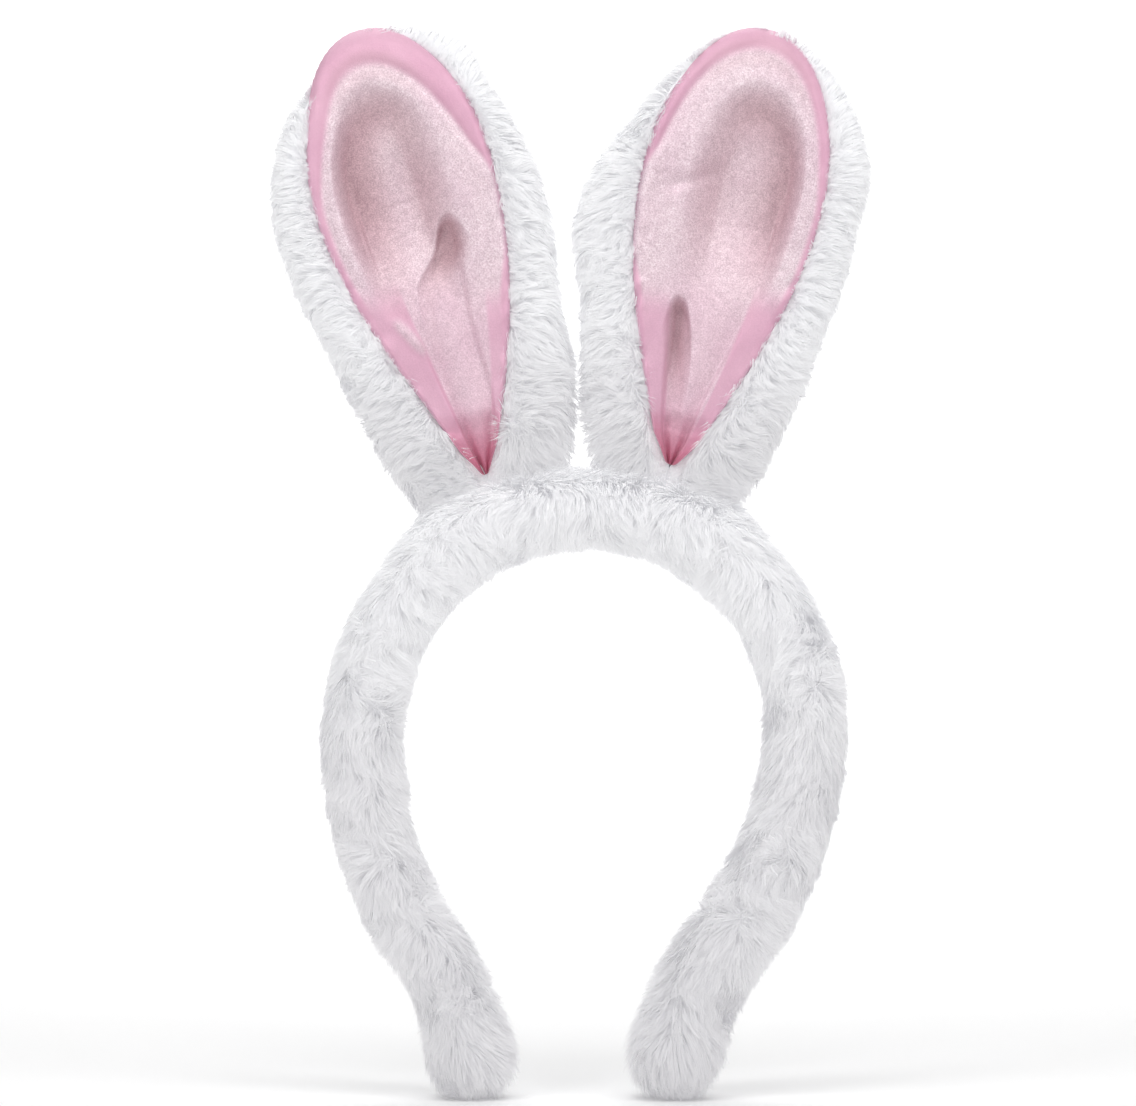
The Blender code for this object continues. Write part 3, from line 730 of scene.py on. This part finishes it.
def dimple(side, x, u):
    """The short deep tuck where the first fold starts, under an arched edge."""
    tuck = FACES[side].tuck
    below = tuck.top - u
    place = tuck.place + tuck.tail * rises(below, 0.010, 0.012)
    aside = (x - place) / 0.16
    below = below - 0.0050 * aside**2
    along = smooth(below / 0.0050) * (1 - rises(below, tuck.full, tuck.fading))
    return along * crease(x, place, 0.22, 0.13)


def long_fold(fold, x, u, reach, gentle, steep):
    """A fold from its top down to the root, steep towards -x, and turning aside as it nears the root."""
    place = fold.place + fold.turn * falls(u, 0.05, reach)
    return falls(u, fold.top, 0.016) * crease(x, place, gentle, steep)


def satin_marks(side, x, u):
    """Short ridges and dents, each along its own slanting line."""
    half = satin_half(u)
    total = 0 * u
    for mark in FACES[side].marks:
        across = (x - mark.place) * half
        upward = u - mark.height
        along = across * sin(mark.slant) + upward * cos(mark.slant)
        off = across * cos(mark.slant) - upward * sin(mark.slant)
        total = total + mark.rise * np.exp(-((off / mark.width) ** 2) - (along / mark.reach) ** 4)
    return total


def satin_relief(side, x, u):
    """The rolled rim, the hollow above and the folds down to the root, as heights towards the front."""
    face = FACES[side]
    radius, v, _ = satin_radius(x, u)
    edge = np.clip((radius - 0.90) / 0.10, 0, 1)
    groove = rises(u, 0.055, 0.03) * bell(radius, rim_edge(side, u, v) - 0.01, 0.05)
    hollow_depth = HOLLOW_DEPTH + (HOLLOW_DEPTH_TOP - HOLLOW_DEPTH) * rises(u, 0.090, 0.025)
    strip = rises(u, 0.060, 0.016) * falls(u, 0.096, 0.016)
    strip = strip * falls(x, 0.58, 0.05) * smooth((x + 0.35) / 0.8)
    second = face.second._replace(place=-face.second.place, turn=-face.second.turn)
    pocket = falls(u, 0.0225, 0.006) * np.clip(1 - (x / 0.95) ** 4, 0, 1)
    relief = -RIM_DROP * (1 - np.sqrt(1 - edge**2))
    relief = relief - GROOVE_DEPTH * groove
    relief = relief - hollow_depth * hollow(x, u)
    relief = relief - STRIP_DEPTH * strip
    relief = relief - FIRST_FOLD_DEPTH * long_fold(face.first, x, u, 0.04, 0.28, 0.07)
    relief = relief - DIMPLE_DEPTH * dimple(side, x, u)
    relief = relief - SECOND_FOLD_DEPTH * long_fold(second, -x, u, 0.03, 0.26, 0.06)
    return relief - POCKET_DEPTH * pocket + satin_marks(side, x, u)


def satin_height(side, x, u, points):
    """How far the satin stands towards the front at x and u; points are where it would lie if flat."""
    radius, _, _ = satin_radius(x, u)
    return SATIN_FRONT * half_depth(u) + satin_relief(side, x, u) + satin_ripples(side, u, radius, points)


def painted_sheen(side, x, u):
    """Painted sheen and painted glints: where the satin is coloured paler and speckled as if lit, inside
    the rim above, and between the folds below.
    """
    radius, v, _ = satin_radius(x, u)
    face = FACES[side]
    inside = smooth((rim_edge(side, u, v) + 0.04 - radius) / 0.08)
    outer_strip = rises(x, face.second.place + 0.02, 0.06) * falls(u, 0.066, 0.012)
    inner_strip = falls(x, face.inner_clean, 0.08) * falls(u, 0.058, 0.010)
    ridges = np.clip(satin_marks(side, x, u) / 0.0008, 0, 1)
    inside = np.maximum(inside * (1 - 0.9 * outer_strip), ridges)
    upper = 0.25 + 0.45 * rises(u, 0.012, 0.018) + 0.30 * rises(u, 0.045, 0.025)
    return inside * (1 - 0.8 * inner_strip) * upper


def shaded(side, x, u):
    """Painted shade: the hollow's walls, the tuck, and the rim's roll near the top with the band just
    inside it are coloured darker; the hollow's floor gets less and stays pinker.
    """
    bowl = hollow(x, u)
    floor = bell(x, 0.06, 0.30 + 0.06 * side) * falls(u, 0.120, 0.02)
    radius, v, _ = satin_radius(x, u)
    edge = rim_edge(side, u, v)
    roll = bell(radius, edge + 0.045, 0.04) * rises(u, 0.115, 0.015)
    brow = bell(radius, edge - 0.06, 0.05) * rises(u, 0.112, 0.015)
    painted_shade_marks = 0.9 * dimple(side, x, u) + 0.3 * roll + 0.28 * brow
    return np.clip(bowl * (1 - 0.75 * floor) + painted_shade_marks, 0, 1)


def satin_ripples(side, u, radius, points):
    """Puckers along the seam, which gather below the widest place, and soft waves all over."""
    flat = points.reshape(-1, 3)
    pucker = make_noise(40 + side, 0.0055)(flat)[:, 0].reshape(u.shape)
    wave = make_noise(50 + side, 0.022, 2)(flat)[:, 0].reshape(u.shape)
    seam = bell(radius, 1.0, 0.14) * falls(radius, 1.0, 0.02)
    gathered = 0.3 + 0.7 * falls(u, 0.085, 0.02)
    return 0.00048 * gathered * pucker * seam + 0.00013 * wave * falls(radius, 1.0, 0.1)


def add_satin(name, material):
    """A satin face, with the fields that its material reads."""
    side = SIDES[name]
    root = SATIN_ROOT[side]
    rows, columns = 320, 200
    u = root + (SATIN_LENGTH - root) * (1 - (1 - np.linspace(0, 1, rows)) ** 1.25)
    x = np.sin(np.linspace(-1, 1, columns) * pi / 2 * 0.94) / sin(pi / 2 * 0.94)
    uu, xx = np.meshgrid(u, x, indexing="ij")
    closing = np.clip((uu - root) / 0.008, 0, 1) ** 0.5
    v = xx * satin_half(uu) * (0.25 + 0.75 * closing)
    flat = ear_world(side, v, 0 * uu, uu, 1.0)
    height = satin_height(side, xx, uu, flat)
    grid = Grid(ear_world(side, v, -height, uu, 1.0), wrap=False, out=side)
    satin = grid_object(f"{name}_ear_satin", grid, material)
    # Fields for the material: painted shade in the hollow and the folds, painted shade in the pinched
    # pocket, and painted sheen.
    add_field(satin, "hollow", shaded(side, xx, uu))
    add_field(satin, "painted_pinch_shade", falls(uu, 0.026, 0.022))
    add_field(satin, "painted_sheen", painted_sheen(side, xx, uu))
    return satin


# ---------------- what the skins hold


def tubes(name, paths, radii, material, sides=8):
    """Round closed tubes along paths, each (count, 3) with its own radii, as one object."""
    verts, faces = [], []
    turn = np.linspace(0, 2 * pi, sides, endpoint=False)
    for path, radius in zip(paths, radii):
        along = unit(np.gradient(path, axis=0))
        across = unit(np.cross(along, np.array([0.0, 1.0, 0.0]) + 1e-4))[:, None]
        other = np.cross(along[:, None], across)
        ring = across * np.cos(turn)[None, :, None] + other * np.sin(turn)[None, :, None]
        tube = Grid(path[:, None] + ring * radius[:, None, None], wrap=True)
        faces += tube.faces(close_ends=True, first=len(verts))
        verts += tube.points.reshape(-1, 3).tolist()
    return mesh_object(name, verts, faces, material)


def resample(path, count):
    """The same path with count points, evenly spaced."""
    step = np.linalg.norm(np.diff(path, axis=0), axis=1)
    run = np.concatenate([[0], np.cumsum(step)])
    want = np.linspace(0, run[-1], count)
    return np.stack([np.interp(want, run, path[:, axis]) for axis in range(3)], axis=-1)


def stitches(name, path, pitch, material):
    """A row of short stitches along a seam, each one's thread thin at both ends."""
    length = np.linalg.norm(np.diff(path, axis=0), axis=1).sum()
    count = int(length / pitch)
    steps = 40
    fine = resample(path, count * steps + 1)
    chosen = np.linspace(0, steps * STITCH_SHARE, 7).astype(int)
    taper = np.sin(np.linspace(0.25, pi - 0.25, len(chosen))) ** 0.5
    paths = [fine[index * steps + chosen] for index in range(count)]
    radii = [THREAD_DIAMETER / 2 * taper] * count
    return tubes(name, paths, radii, material, sides=6)


def add_band_inside(name, grid, looks):
    """Foam round the springy strip, and the seam that closes the sleeve on its inner side."""
    side = SIDES[name]
    distance, size = rounded_end(BAND_HALF_LENGTH - FOAM_TIP_INSET, FOAM_TIP_ROUND, 6, 90)
    angle = np.linspace(0, 2 * pi, 32, endpoint=False)
    points = band_surface(side, distance, angle, FOAM_THICK / 2 * size, FOAM_DEPTH / 2 * size)
    around = Grid(points, wrap=True, out=-side)
    foam = grid_object(f"{name}_band_foam", around, looks["foam"], close_ends=True)
    along_band(foam, name)
    inner = grid.points.shape[1] // 2
    path = grid.points[2:-6, inner] + grid.fields["normal"][2:-6, inner] * THREAD_DIAMETER / 4
    seam = stitches(f"{name}_band_seam", path, BAND_STITCH, looks["thread_white"])
    along_band(seam, name)
    return foam, seam


def pad_grid(side):
    """The filling's surface: the front follows the satin, and the back follows the plush."""
    u = np.linspace(PAD_ROOT, PAD_END, 70)
    x = np.sin(np.linspace(-1, 1, 32) * pi / 2)
    uu, xx = np.meshgrid(u, x, indexing="ij")
    half = np.minimum(satin_half(uu), half_width(uu) - 0.009) * PAD_SHARE
    v = xx * half
    flat = ear_world(side, v, 0 * uu, uu, 1.0)
    front = -(satin_height(side, PAD_SHARE * xx, uu, flat) - 0.0022)
    back = (half_depth(uu) - 0.0046) * (1 - 0.45 * (v / half_width(uu)) ** 2)
    ends = smooth((uu - PAD_ROOT) / 0.006 + 0.3) * smooth((PAD_END - uu) / 0.006 + 0.3)
    round_off = np.clip(1 - xx**6, 0, 1) ** 0.5 * ends
    middle = (front + back) / 2
    thick = np.clip(back - front, 0.0008, None) / 2 * np.clip(round_off, 0.02, 1)
    v = np.concatenate([v, v[:, -2:0:-1]], axis=1)
    w = np.concatenate([middle - thick, (middle + thick)[:, -2:0:-1]], axis=1)
    height = np.broadcast_to(u[:, None], v.shape)
    return Grid(ear_world(side, v, w, height, 1.0), wrap=True, out=side)


def up_and_over(start, widest, length, climbing, closing):
    """Heights from start to the widest place, and then on to the end, nearer and nearer together."""
    climb = np.linspace(start, widest, climbing)[:-1]
    over = widest + (length - widest) * np.sin(np.linspace(0, pi / 2, closing))
    return np.concatenate([climb, over])


def wire_path(side):
    """A closed loop that keeps inside the ear's edge and turns up at the root."""
    u = up_and_over(0.0165, EAR_WIDEST, EAR_LENGTH, 24, 26)
    rim = np.stack([half_width(u), u], axis=-1)
    along = unit(np.gradient(rim, axis=0))
    half = rim + WIRE_INSET * np.stack([-along[:, 1], along[:, 0]], axis=-1)
    half = half[half[:, 0] > 0.0005]
    foot = np.array([[0.0, 0.0055], [0.006, 0.0085], [0.0135, 0.0118]])
    half = np.concatenate([foot, half, [[0.0, half[-1, 1]]]])
    other = half[-2::-1] * np.array([-1, 1])
    loop = ease(np.concatenate([half, other]), 260)
    return ear_world(side, loop[:, 0], 0.0005 + 0 * loop[:, 1], loop[:, 1], 0.5)


def seam_line(side):
    """Along the satin's edge, where it is sewn to the plush."""
    u = up_and_over(0.012, SATIN_WIDEST, SATIN_LENGTH, 60, 40)
    v = satin_half(u)
    v, u = np.concatenate([v, -v[-2::-1]]), np.concatenate([u, u[-2::-1]])
    return ear_world(side, v, -(SATIN_FRONT * half_depth(u) - 0.0046), u, 1.0)


def add_ear_inside(name, looks):
    """The filling, the wire that holds the ear up, and the thread that sews the satin in."""
    side = SIDES[name]
    pad = grid_object(f"{name}_ear_pad", pad_grid(side), looks["filling"], close_ends=True)
    path = wire_path(side)
    radii = [np.full(len(path), WIRE_DIAMETER / 2)]
    wire = tubes(f"{name}_ear_wire", [path], radii, looks["wire"])
    seam = stitches(f"{name}_ear_seam", seam_line(side), EAR_STITCH, looks["thread_pink"])
    for piece, slot in ((pad, "fibrefill"), (wire, "wire"), (seam, "thread_pink")):
        along_ear(piece, name)
    return pad, wire, seam


# ---------------- materials


class Nodes:
    """A material's node tree around its Principled shader, with short calls to add to it."""

    def __init__(self, name, colour, roughness):
        self.material = bpy.data.materials.new(name)
        self.material.use_nodes = True
        self.tree = self.material.node_tree
        self.shader = self.tree.nodes["Principled BSDF"]
        self.set(Base_Color=(*colour, 1.0), Roughness=roughness)

    def add(self, kind, **settings):
        node = self.tree.nodes.new(kind)
        for key, value in settings.items():
            if key in node.inputs:
                node.inputs[key].default_value = value
            else:
                setattr(node, key, value)
        return node

    def link(self, source, target):
        self.tree.links.new(source, target)

    def noise(self, scale, detail=2.0, roughness=0.5):
        node = self.add("ShaderNodeTexNoise", Scale=scale, Detail=detail, Roughness=roughness)
        self.link(self.add("ShaderNodeTexCoord").outputs["Object"], node.inputs["Vector"])
        return node.outputs["Fac"]

    def attribute(self, name):
        return self.add("ShaderNodeAttribute", attribute_name=name).outputs["Fac"]

    def ramp(self, value, stops):
        node = self.add("ShaderNodeValToRGB")
        elements = node.color_ramp.elements
        for element, (position, colour) in ((elements[0], stops[0]), (elements[1], stops[-1])):
            element.position = position
            element.color = (*colour, 1.0)
        for position, colour in stops[1:-1]:
            elements.new(position).color = (*colour, 1.0)
        self.link(value, node.inputs["Fac"])
        return node.outputs["Color"]

    def mix(self, factor, first, second, blend="MIX"):
        node = self.add("ShaderNodeMix", data_type="RGBA", blend_type=blend)
        for index, value in ((0, factor), (6, first), (7, second)):
            if isinstance(value, bpy.types.NodeSocket):
                self.link(value, node.inputs[index])
            elif isinstance(value, tuple):
                node.inputs[index].default_value = (*value, 1.0)
            else:
                node.inputs[index].default_value = value
        return node.outputs[2]

    def span(self, value, low, high):
        node = self.add("ShaderNodeMapRange", **{"To Min": low, "To Max": high})
        self.link(value, node.inputs["Value"])
        return node.outputs["Result"]

    def bump(self, height, distance, strength=1.0):
        node = self.add("ShaderNodeBump", Strength=strength, Distance=distance)
        self.link(height, node.inputs["Height"])
        self.link(node.outputs["Normal"], self.shader.inputs["Normal"])

    def colour(self, value):
        self.link(value, self.shader.inputs["Base Color"])

    def rough(self, value):
        self.link(value, self.shader.inputs["Roughness"])

    def set(self, **values):
        """Plain values on the shader's own sockets, where _ stands for a space in a socket's name."""
        for key, value in values.items():
            self.shader.inputs[key.replace("_", " ")].default_value = value

    def painted_glow(self):
        """Painted glow: an even emission that stands in for the light white fibres pass on to each other,
        which a surface shader leaves out.
        """
        self.set(Emission_Color=(0.97, 0.97, 1.0, 1.0), Emission_Strength=PILE_GLOW)


def pile_material():
    """White plush fibres: darker at the root, greyed by painted shade along the arms and near the ears'
    roots, slightly uneven, and with a painted glow.
    """
    nodes = Nodes("plush_pile", (0.93, 0.93, 0.94), 0.62)
    fibre = [(0.0, (0.91, 0.91, 0.925)), (0.5, (0.94, 0.94, 0.945)), (1.0, (0.96, 0.96, 0.96))]
    root_to_tip = nodes.ramp(nodes.attribute("height"), fibre)
    tone = nodes.ramp(nodes.attribute("tone"), [(0.0, (0.96, 0.96, 0.97)), (1.0, (1.0, 1.0, 1.0))])
    # Painted shade, down the arms and near the ears' roots.
    painted_shade = nodes.ramp(nodes.attribute("painted_shade"), [(0.0, (1.0, 1.0, 1.0)), (1.0, (0.865, 0.858, 0.864))])
    uneven = nodes.mix(1.0, root_to_tip, tone, "MULTIPLY")
    nodes.colour(nodes.mix(1.0, uneven, painted_shade, "MULTIPLY"))
    nodes.set(Specular_IOR_Level=0.25)
    # Painted glow on the fibres.
    nodes.painted_glow()
    return nodes.material


def backing_material():
    """The plush's knitted ground, seen only between the fibres."""
    nodes = Nodes("plush_ground", (0.80, 0.80, 0.84), 0.9)
    grain = nodes.noise(900.0, 3.0)
    nodes.colour(nodes.ramp(grain, [(0.3, (0.86, 0.86, 0.88)), (0.7, (0.93, 0.93, 0.94))]))
    nodes.bump(grain, 0.0006, 0.8)
    nodes.rough(nodes.span(nodes.noise(300.0), 0.8, 1.0))
    # The same painted glow on the ground.
    nodes.painted_glow()
    return nodes.material


def satin_material():
    """Pink satin: its own pink on the rim, with painted sheen and painted glints inside it and between
    the folds, painted shade in the hollow and a darker red painted shade at the pinch.
    """
    nodes = Nodes("pink_satin", (0.80, 0.45, 0.60), 0.40)
    broad = nodes.noise(70.0, 3.0)
    speck = nodes.noise(2300.0, 3.0, 0.8)
    patch = nodes.noise(420.0, 2.0, 0.6)
    # Painted sheen: a paler pink where the satin would catch the light.
    painted_sheen_mask = nodes.attribute("painted_sheen")
    clean = nodes.ramp(broad, [(0.3, (0.75, 0.40, 0.545)), (0.7, (0.81, 0.46, 0.60))])
    painted_sheen_pink = nodes.ramp(broad, [(0.3, (0.81, 0.60, 0.68)), (0.7, (0.86, 0.67, 0.735))])
    base = nodes.mix(nodes.span(painted_sheen_mask, 0.0, 1.0), clean, painted_sheen_pink)
    # Painted shade: a darker, greyer pink on the hollow's walls and in the tuck.
    painted_hollow_shade = nodes.mix(nodes.span(nodes.attribute("hollow"), 0.0, 0.85), base, (0.53, 0.300, 0.342))
    # Painted shade: a darker red in the pinched pocket at the root.
    painted_pinch_red = nodes.mix(nodes.span(nodes.attribute("painted_pinch_shade"), 0.0, 0.85), painted_hollow_shade, (0.66, 0.17, 0.28))
    # Painted glints: bright specks, some above white, only where the painted sheen is.
    sparks = [(0.38, (0.80, 0.78, 0.79)), (0.50, (1.0, 1.0, 1.0)), (0.62, (1.22, 1.36, 1.30))]
    painted_glints = nodes.ramp(speck, sparks)
    creased = nodes.ramp(patch, [(0.35, (0.94, 0.93, 0.935)), (0.65, (1.06, 1.08, 1.07))])
    weave = nodes.mix(1.0, painted_glints, creased, "MULTIPLY")
    shown = nodes.mix(nodes.span(painted_sheen_mask, 0.12, 1.0), (1.0, 1.0, 1.0), weave)
    nodes.colour(nodes.mix(1.0, painted_pinch_red, shown, "MULTIPLY"))
    nodes.rough(nodes.span(speck, 0.55, 0.28))
    nodes.bump(speck, 0.00022, 1.0)
    nodes.set(Metallic=0.28, Specular_IOR_Level=0.9)
    nodes.set(Sheen_Weight=0.35, Sheen_Roughness=0.35, Sheen_Tint=(1.0, 0.90, 0.94, 1.0))
    return nodes.material


def plain_material(name, colour, roughness, grain, distance, metallic=0.0):
    """What lies inside: its own colour with a fine grain."""
    nodes = Nodes(name, colour, roughness)
    speck = nodes.noise(grain, 3.0)
    dark = tuple(0.86 * c for c in colour)
    nodes.colour(nodes.ramp(speck, [(0.3, dark), (0.7, colour)]))
    nodes.rough(nodes.span(speck, roughness - 0.08, min(1.0, roughness + 0.08)))
    nodes.bump(speck, distance, 0.7)
    nodes.set(Metallic=metallic)
    return nodes.material


# ---------------- soft pieces' transforms


def along_band(obj, name):
    """Only bakes its place into its mesh; it does not bend with the arm."""
    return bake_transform(obj)


def along_ear(obj, name):
    """Only bakes its place into its mesh; it does not bend with the ear's tip."""
    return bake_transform(obj)


# ---------------- pieces


def add_pile(name, grid, count, seed, material, place, **how):
    """Pile all over a grid's skin, in pieces that each hold strands from everywhere on it."""
    strands, tone, painted_shade, normal = make_strands(grid, count, seed, **how)
    pieces = -(-count // STRANDS_A_PIECE)
    for index in range(pieces):
        chosen = slice(index, None, pieces)
        parts = (field[chosen] for field in (strands, tone, painted_shade, normal))
        obj = strands_object(f"{name}_pile_{index + 1}", *parts, seed + 10 + index, material)
        place(obj, name.split("_")[0])


def add_band_half(name, looks):
    """One half of the band: its plush skin and pile, and what they hold."""
    side = SIDES[name]
    grid, distance, angle = band_grid(side, BAND_INSET)
    skin = grid_object(f"{name}_band_plush", grid, looks["ground"], close_ends=True)
    along_band(skin, name)
    comb_band(grid, side, distance, angle)
    add_pile(f"{name}_band", grid, looks["band_strands"], 100 + side, looks["pile"], along_band)
    return skin, *add_band_inside(name, grid, looks)


def add_ear(name, looks):
    """An ear's plush skin, with pile as far as the hem, and its satin face."""
    side = SIDES[name]
    grid, u, across = ear_grid(side, EAR_INSET)
    skin = grid_object(f"{name}_ear_plush", grid, looks["ground"])
    along_ear(skin, name)
    comb_ear(grid, side, u, across)
    limit = 0.862 - 0.015 * rises(u, 0.10, 0.02) - 0.045 * falls(u, 0.034, 0.014)
    grown = (np.abs(across)[None] < limit[:, None]).astype(float)
    count = looks["ear_strands"]
    add_pile(f"{name}_ear", grid, count, 200 + side, looks["pile"], along_ear, weight=grown, flow=400)

    satin = add_satin(name, looks["satin"])
    along_ear(satin, name)
    return skin, satin


# ---------------- studio


def add_floor():
    """A pale sweep: a floor that curves up into a wall behind."""
    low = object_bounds()[0].z - 0.004
    profile = [(-3.0, low)]
    profile += [(1.2 + 0.8 * sin(a), low + 0.8 * (1 - cos(a))) for a in np.linspace(0, pi / 2, 16)]
    profile.append((2.0, low + 3.2))
    verts = [(x, y, z) for y, z in profile for x in (-4.0, 4.0)]
    faces = [(2 * i, 2 * i + 1, 2 * i + 3, 2 * i + 2) for i in range(len(profile) - 1)]
    nodes = Nodes("pale_floor", (0.92, 0.92, 0.92), 0.9)
    nodes.rough(nodes.span(nodes.noise(20.0), 0.85, 0.95))
    floor = mesh_object("studio_floor", verts, faces, nodes.material)


def add_light(name, place, size, power, aim=(0.0, 0.0, 0.0)):
    """A softbox at a place, turned to what it lights."""
    data = bpy.data.lights.new(name, "AREA")
    data.shape = "RECTANGLE"
    data.size, data.size_y = size
    data.energy = power
    light = bpy.data.objects.new(name, data)
    bpy.context.scene.collection.objects.link(light)
    light.location = place
    light.rotation_euler = (Vector(aim) - Vector(place)).to_track_quat("-Z", "Y").to_euler()


def add_studio():
    """Soft light from both sides and above, with the wall and the floor lit to white."""
    world = bpy.data.worlds.new("studio_world")
    bpy.context.scene.world = world
    world.use_nodes = True
    background = world.node_tree.nodes["Background"]
    background.inputs["Color"].default_value = (1.0, 1.0, 1.0, 1.0)
    background.inputs["Strength"].default_value = 0.32
    add_light("softbox_left", (-0.75, -0.70, 0.60), (0.5, 0.7), 3.4, aim=(0.0, 0.0, 0.06))
    add_light("softbox_right", (0.80, -0.65, 0.55), (0.5, 0.7), 3.2, aim=(0.0, 0.0, 0.06))
    add_light("softbox_top", (0.0, -0.45, 0.85), (0.8, 0.5), 3.5)
    for name, side in SIDES.items():
        place, aim = (0.85 * side, 1.30, 0.55), (0.10 * side, 2.0, -0.05)
        add_light(f"wall_{name}", place, (0.5, 0.9), 10.5, aim=aim)
    add_light("floor_light", (0.0, 0.70, 0.95), (1.4, 0.6), 6.0, aim=(0.0, 0.70, -0.17))
    bpy.context.scene.view_settings.view_transform = "Standard"


def add_camera():
    """Level with the middle of the object, straight in front of it."""
    data = bpy.data.cameras.new("camera")
    data.sensor_width = 36.0
    data.lens = 137.3
    camera = bpy.data.objects.new("camera", data)
    bpy.context.scene.collection.objects.link(camera)
    camera.location = (-0.0054, -1.3, -0.0012)
    camera.rotation_euler = (pi / 2, 0.0, 0.0)
    bpy.context.scene.camera = camera


# ---------------- the scene


def make_looks():
    """Every material, and how many strands stand on a half of the band and on an ear."""
    density = 1.0
    return {
        "pile": pile_material(),
        "ground": backing_material(),
        "satin": satin_material(),
        "foam": plain_material("foam", (0.88, 0.86, 0.76), 0.9, 1400.0, 0.0003),
        "filling": plain_material("polyester_filling", (0.93, 0.93, 0.90), 0.95, 700.0, 0.0006),
        "wire": plain_material("wire_steel", (0.55, 0.55, 0.56), 0.35, 2500.0, 0.00003, metallic=1.0),
        "plastic": plain_material("band_plastic", (0.80, 0.80, 0.78), 0.5, 500.0, 0.00005),
        "thread_white": plain_material("thread_white", (0.88, 0.88, 0.88), 0.7, 3000.0, 0.0001),
        "thread_pink": plain_material("thread_pink", (0.80, 0.42, 0.54), 0.5, 3000.0, 0.0001),
        "band_strands": int(BAND_STRANDS * density),
        "ear_strands": int(EAR_STRANDS * density),
    }


def add_side(name, looks):
    """One half of the band and the ear on it, each piece in place of its CAD nodes."""
    skin, foam, seam = add_band_half(name, looks)
    shared = ("crown",) if name == "left" else ()
    for piece, node in ((skin, "plush_sleeve"), (foam, "foam_wrap"), (seam, "sleeve_seam")):
        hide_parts(*(f"{node}_{part}" for part in (name, *shared)))
    pad, wire, ear_seam = add_ear_inside(name, looks)
    skin, satin = add_ear(name, looks)
    own = {"plush": skin, "lining": satin, "pad": pad, "wire": wire, "seam": ear_seam}
    for node, piece in own.items():
        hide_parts(f"{name}_ear_{node}_lower", f"{name}_ear_{node}_upper")


def dress_cad(looks):
    """Materials for the CAD's own plastic strip, wires' feet and ears' stitching, which stay shown."""
    nodes = frame["nodes"]
    for name in SIDES:
        nodes[f"{name}_wire_anchor"].data.materials[0] = looks["wire"]
        nodes[f"{name}_ear_base_stitch"].data.materials[0] = looks["thread_white"]
    for part in ("crown", *SIDES):
        nodes[f"band_core_{part}"].data.materials[0] = looks["plastic"]


add_floor()
add_studio()
add_camera()
looks = make_looks()
for name in SIDES:
    add_side(name, looks)
dress_cad(looks)
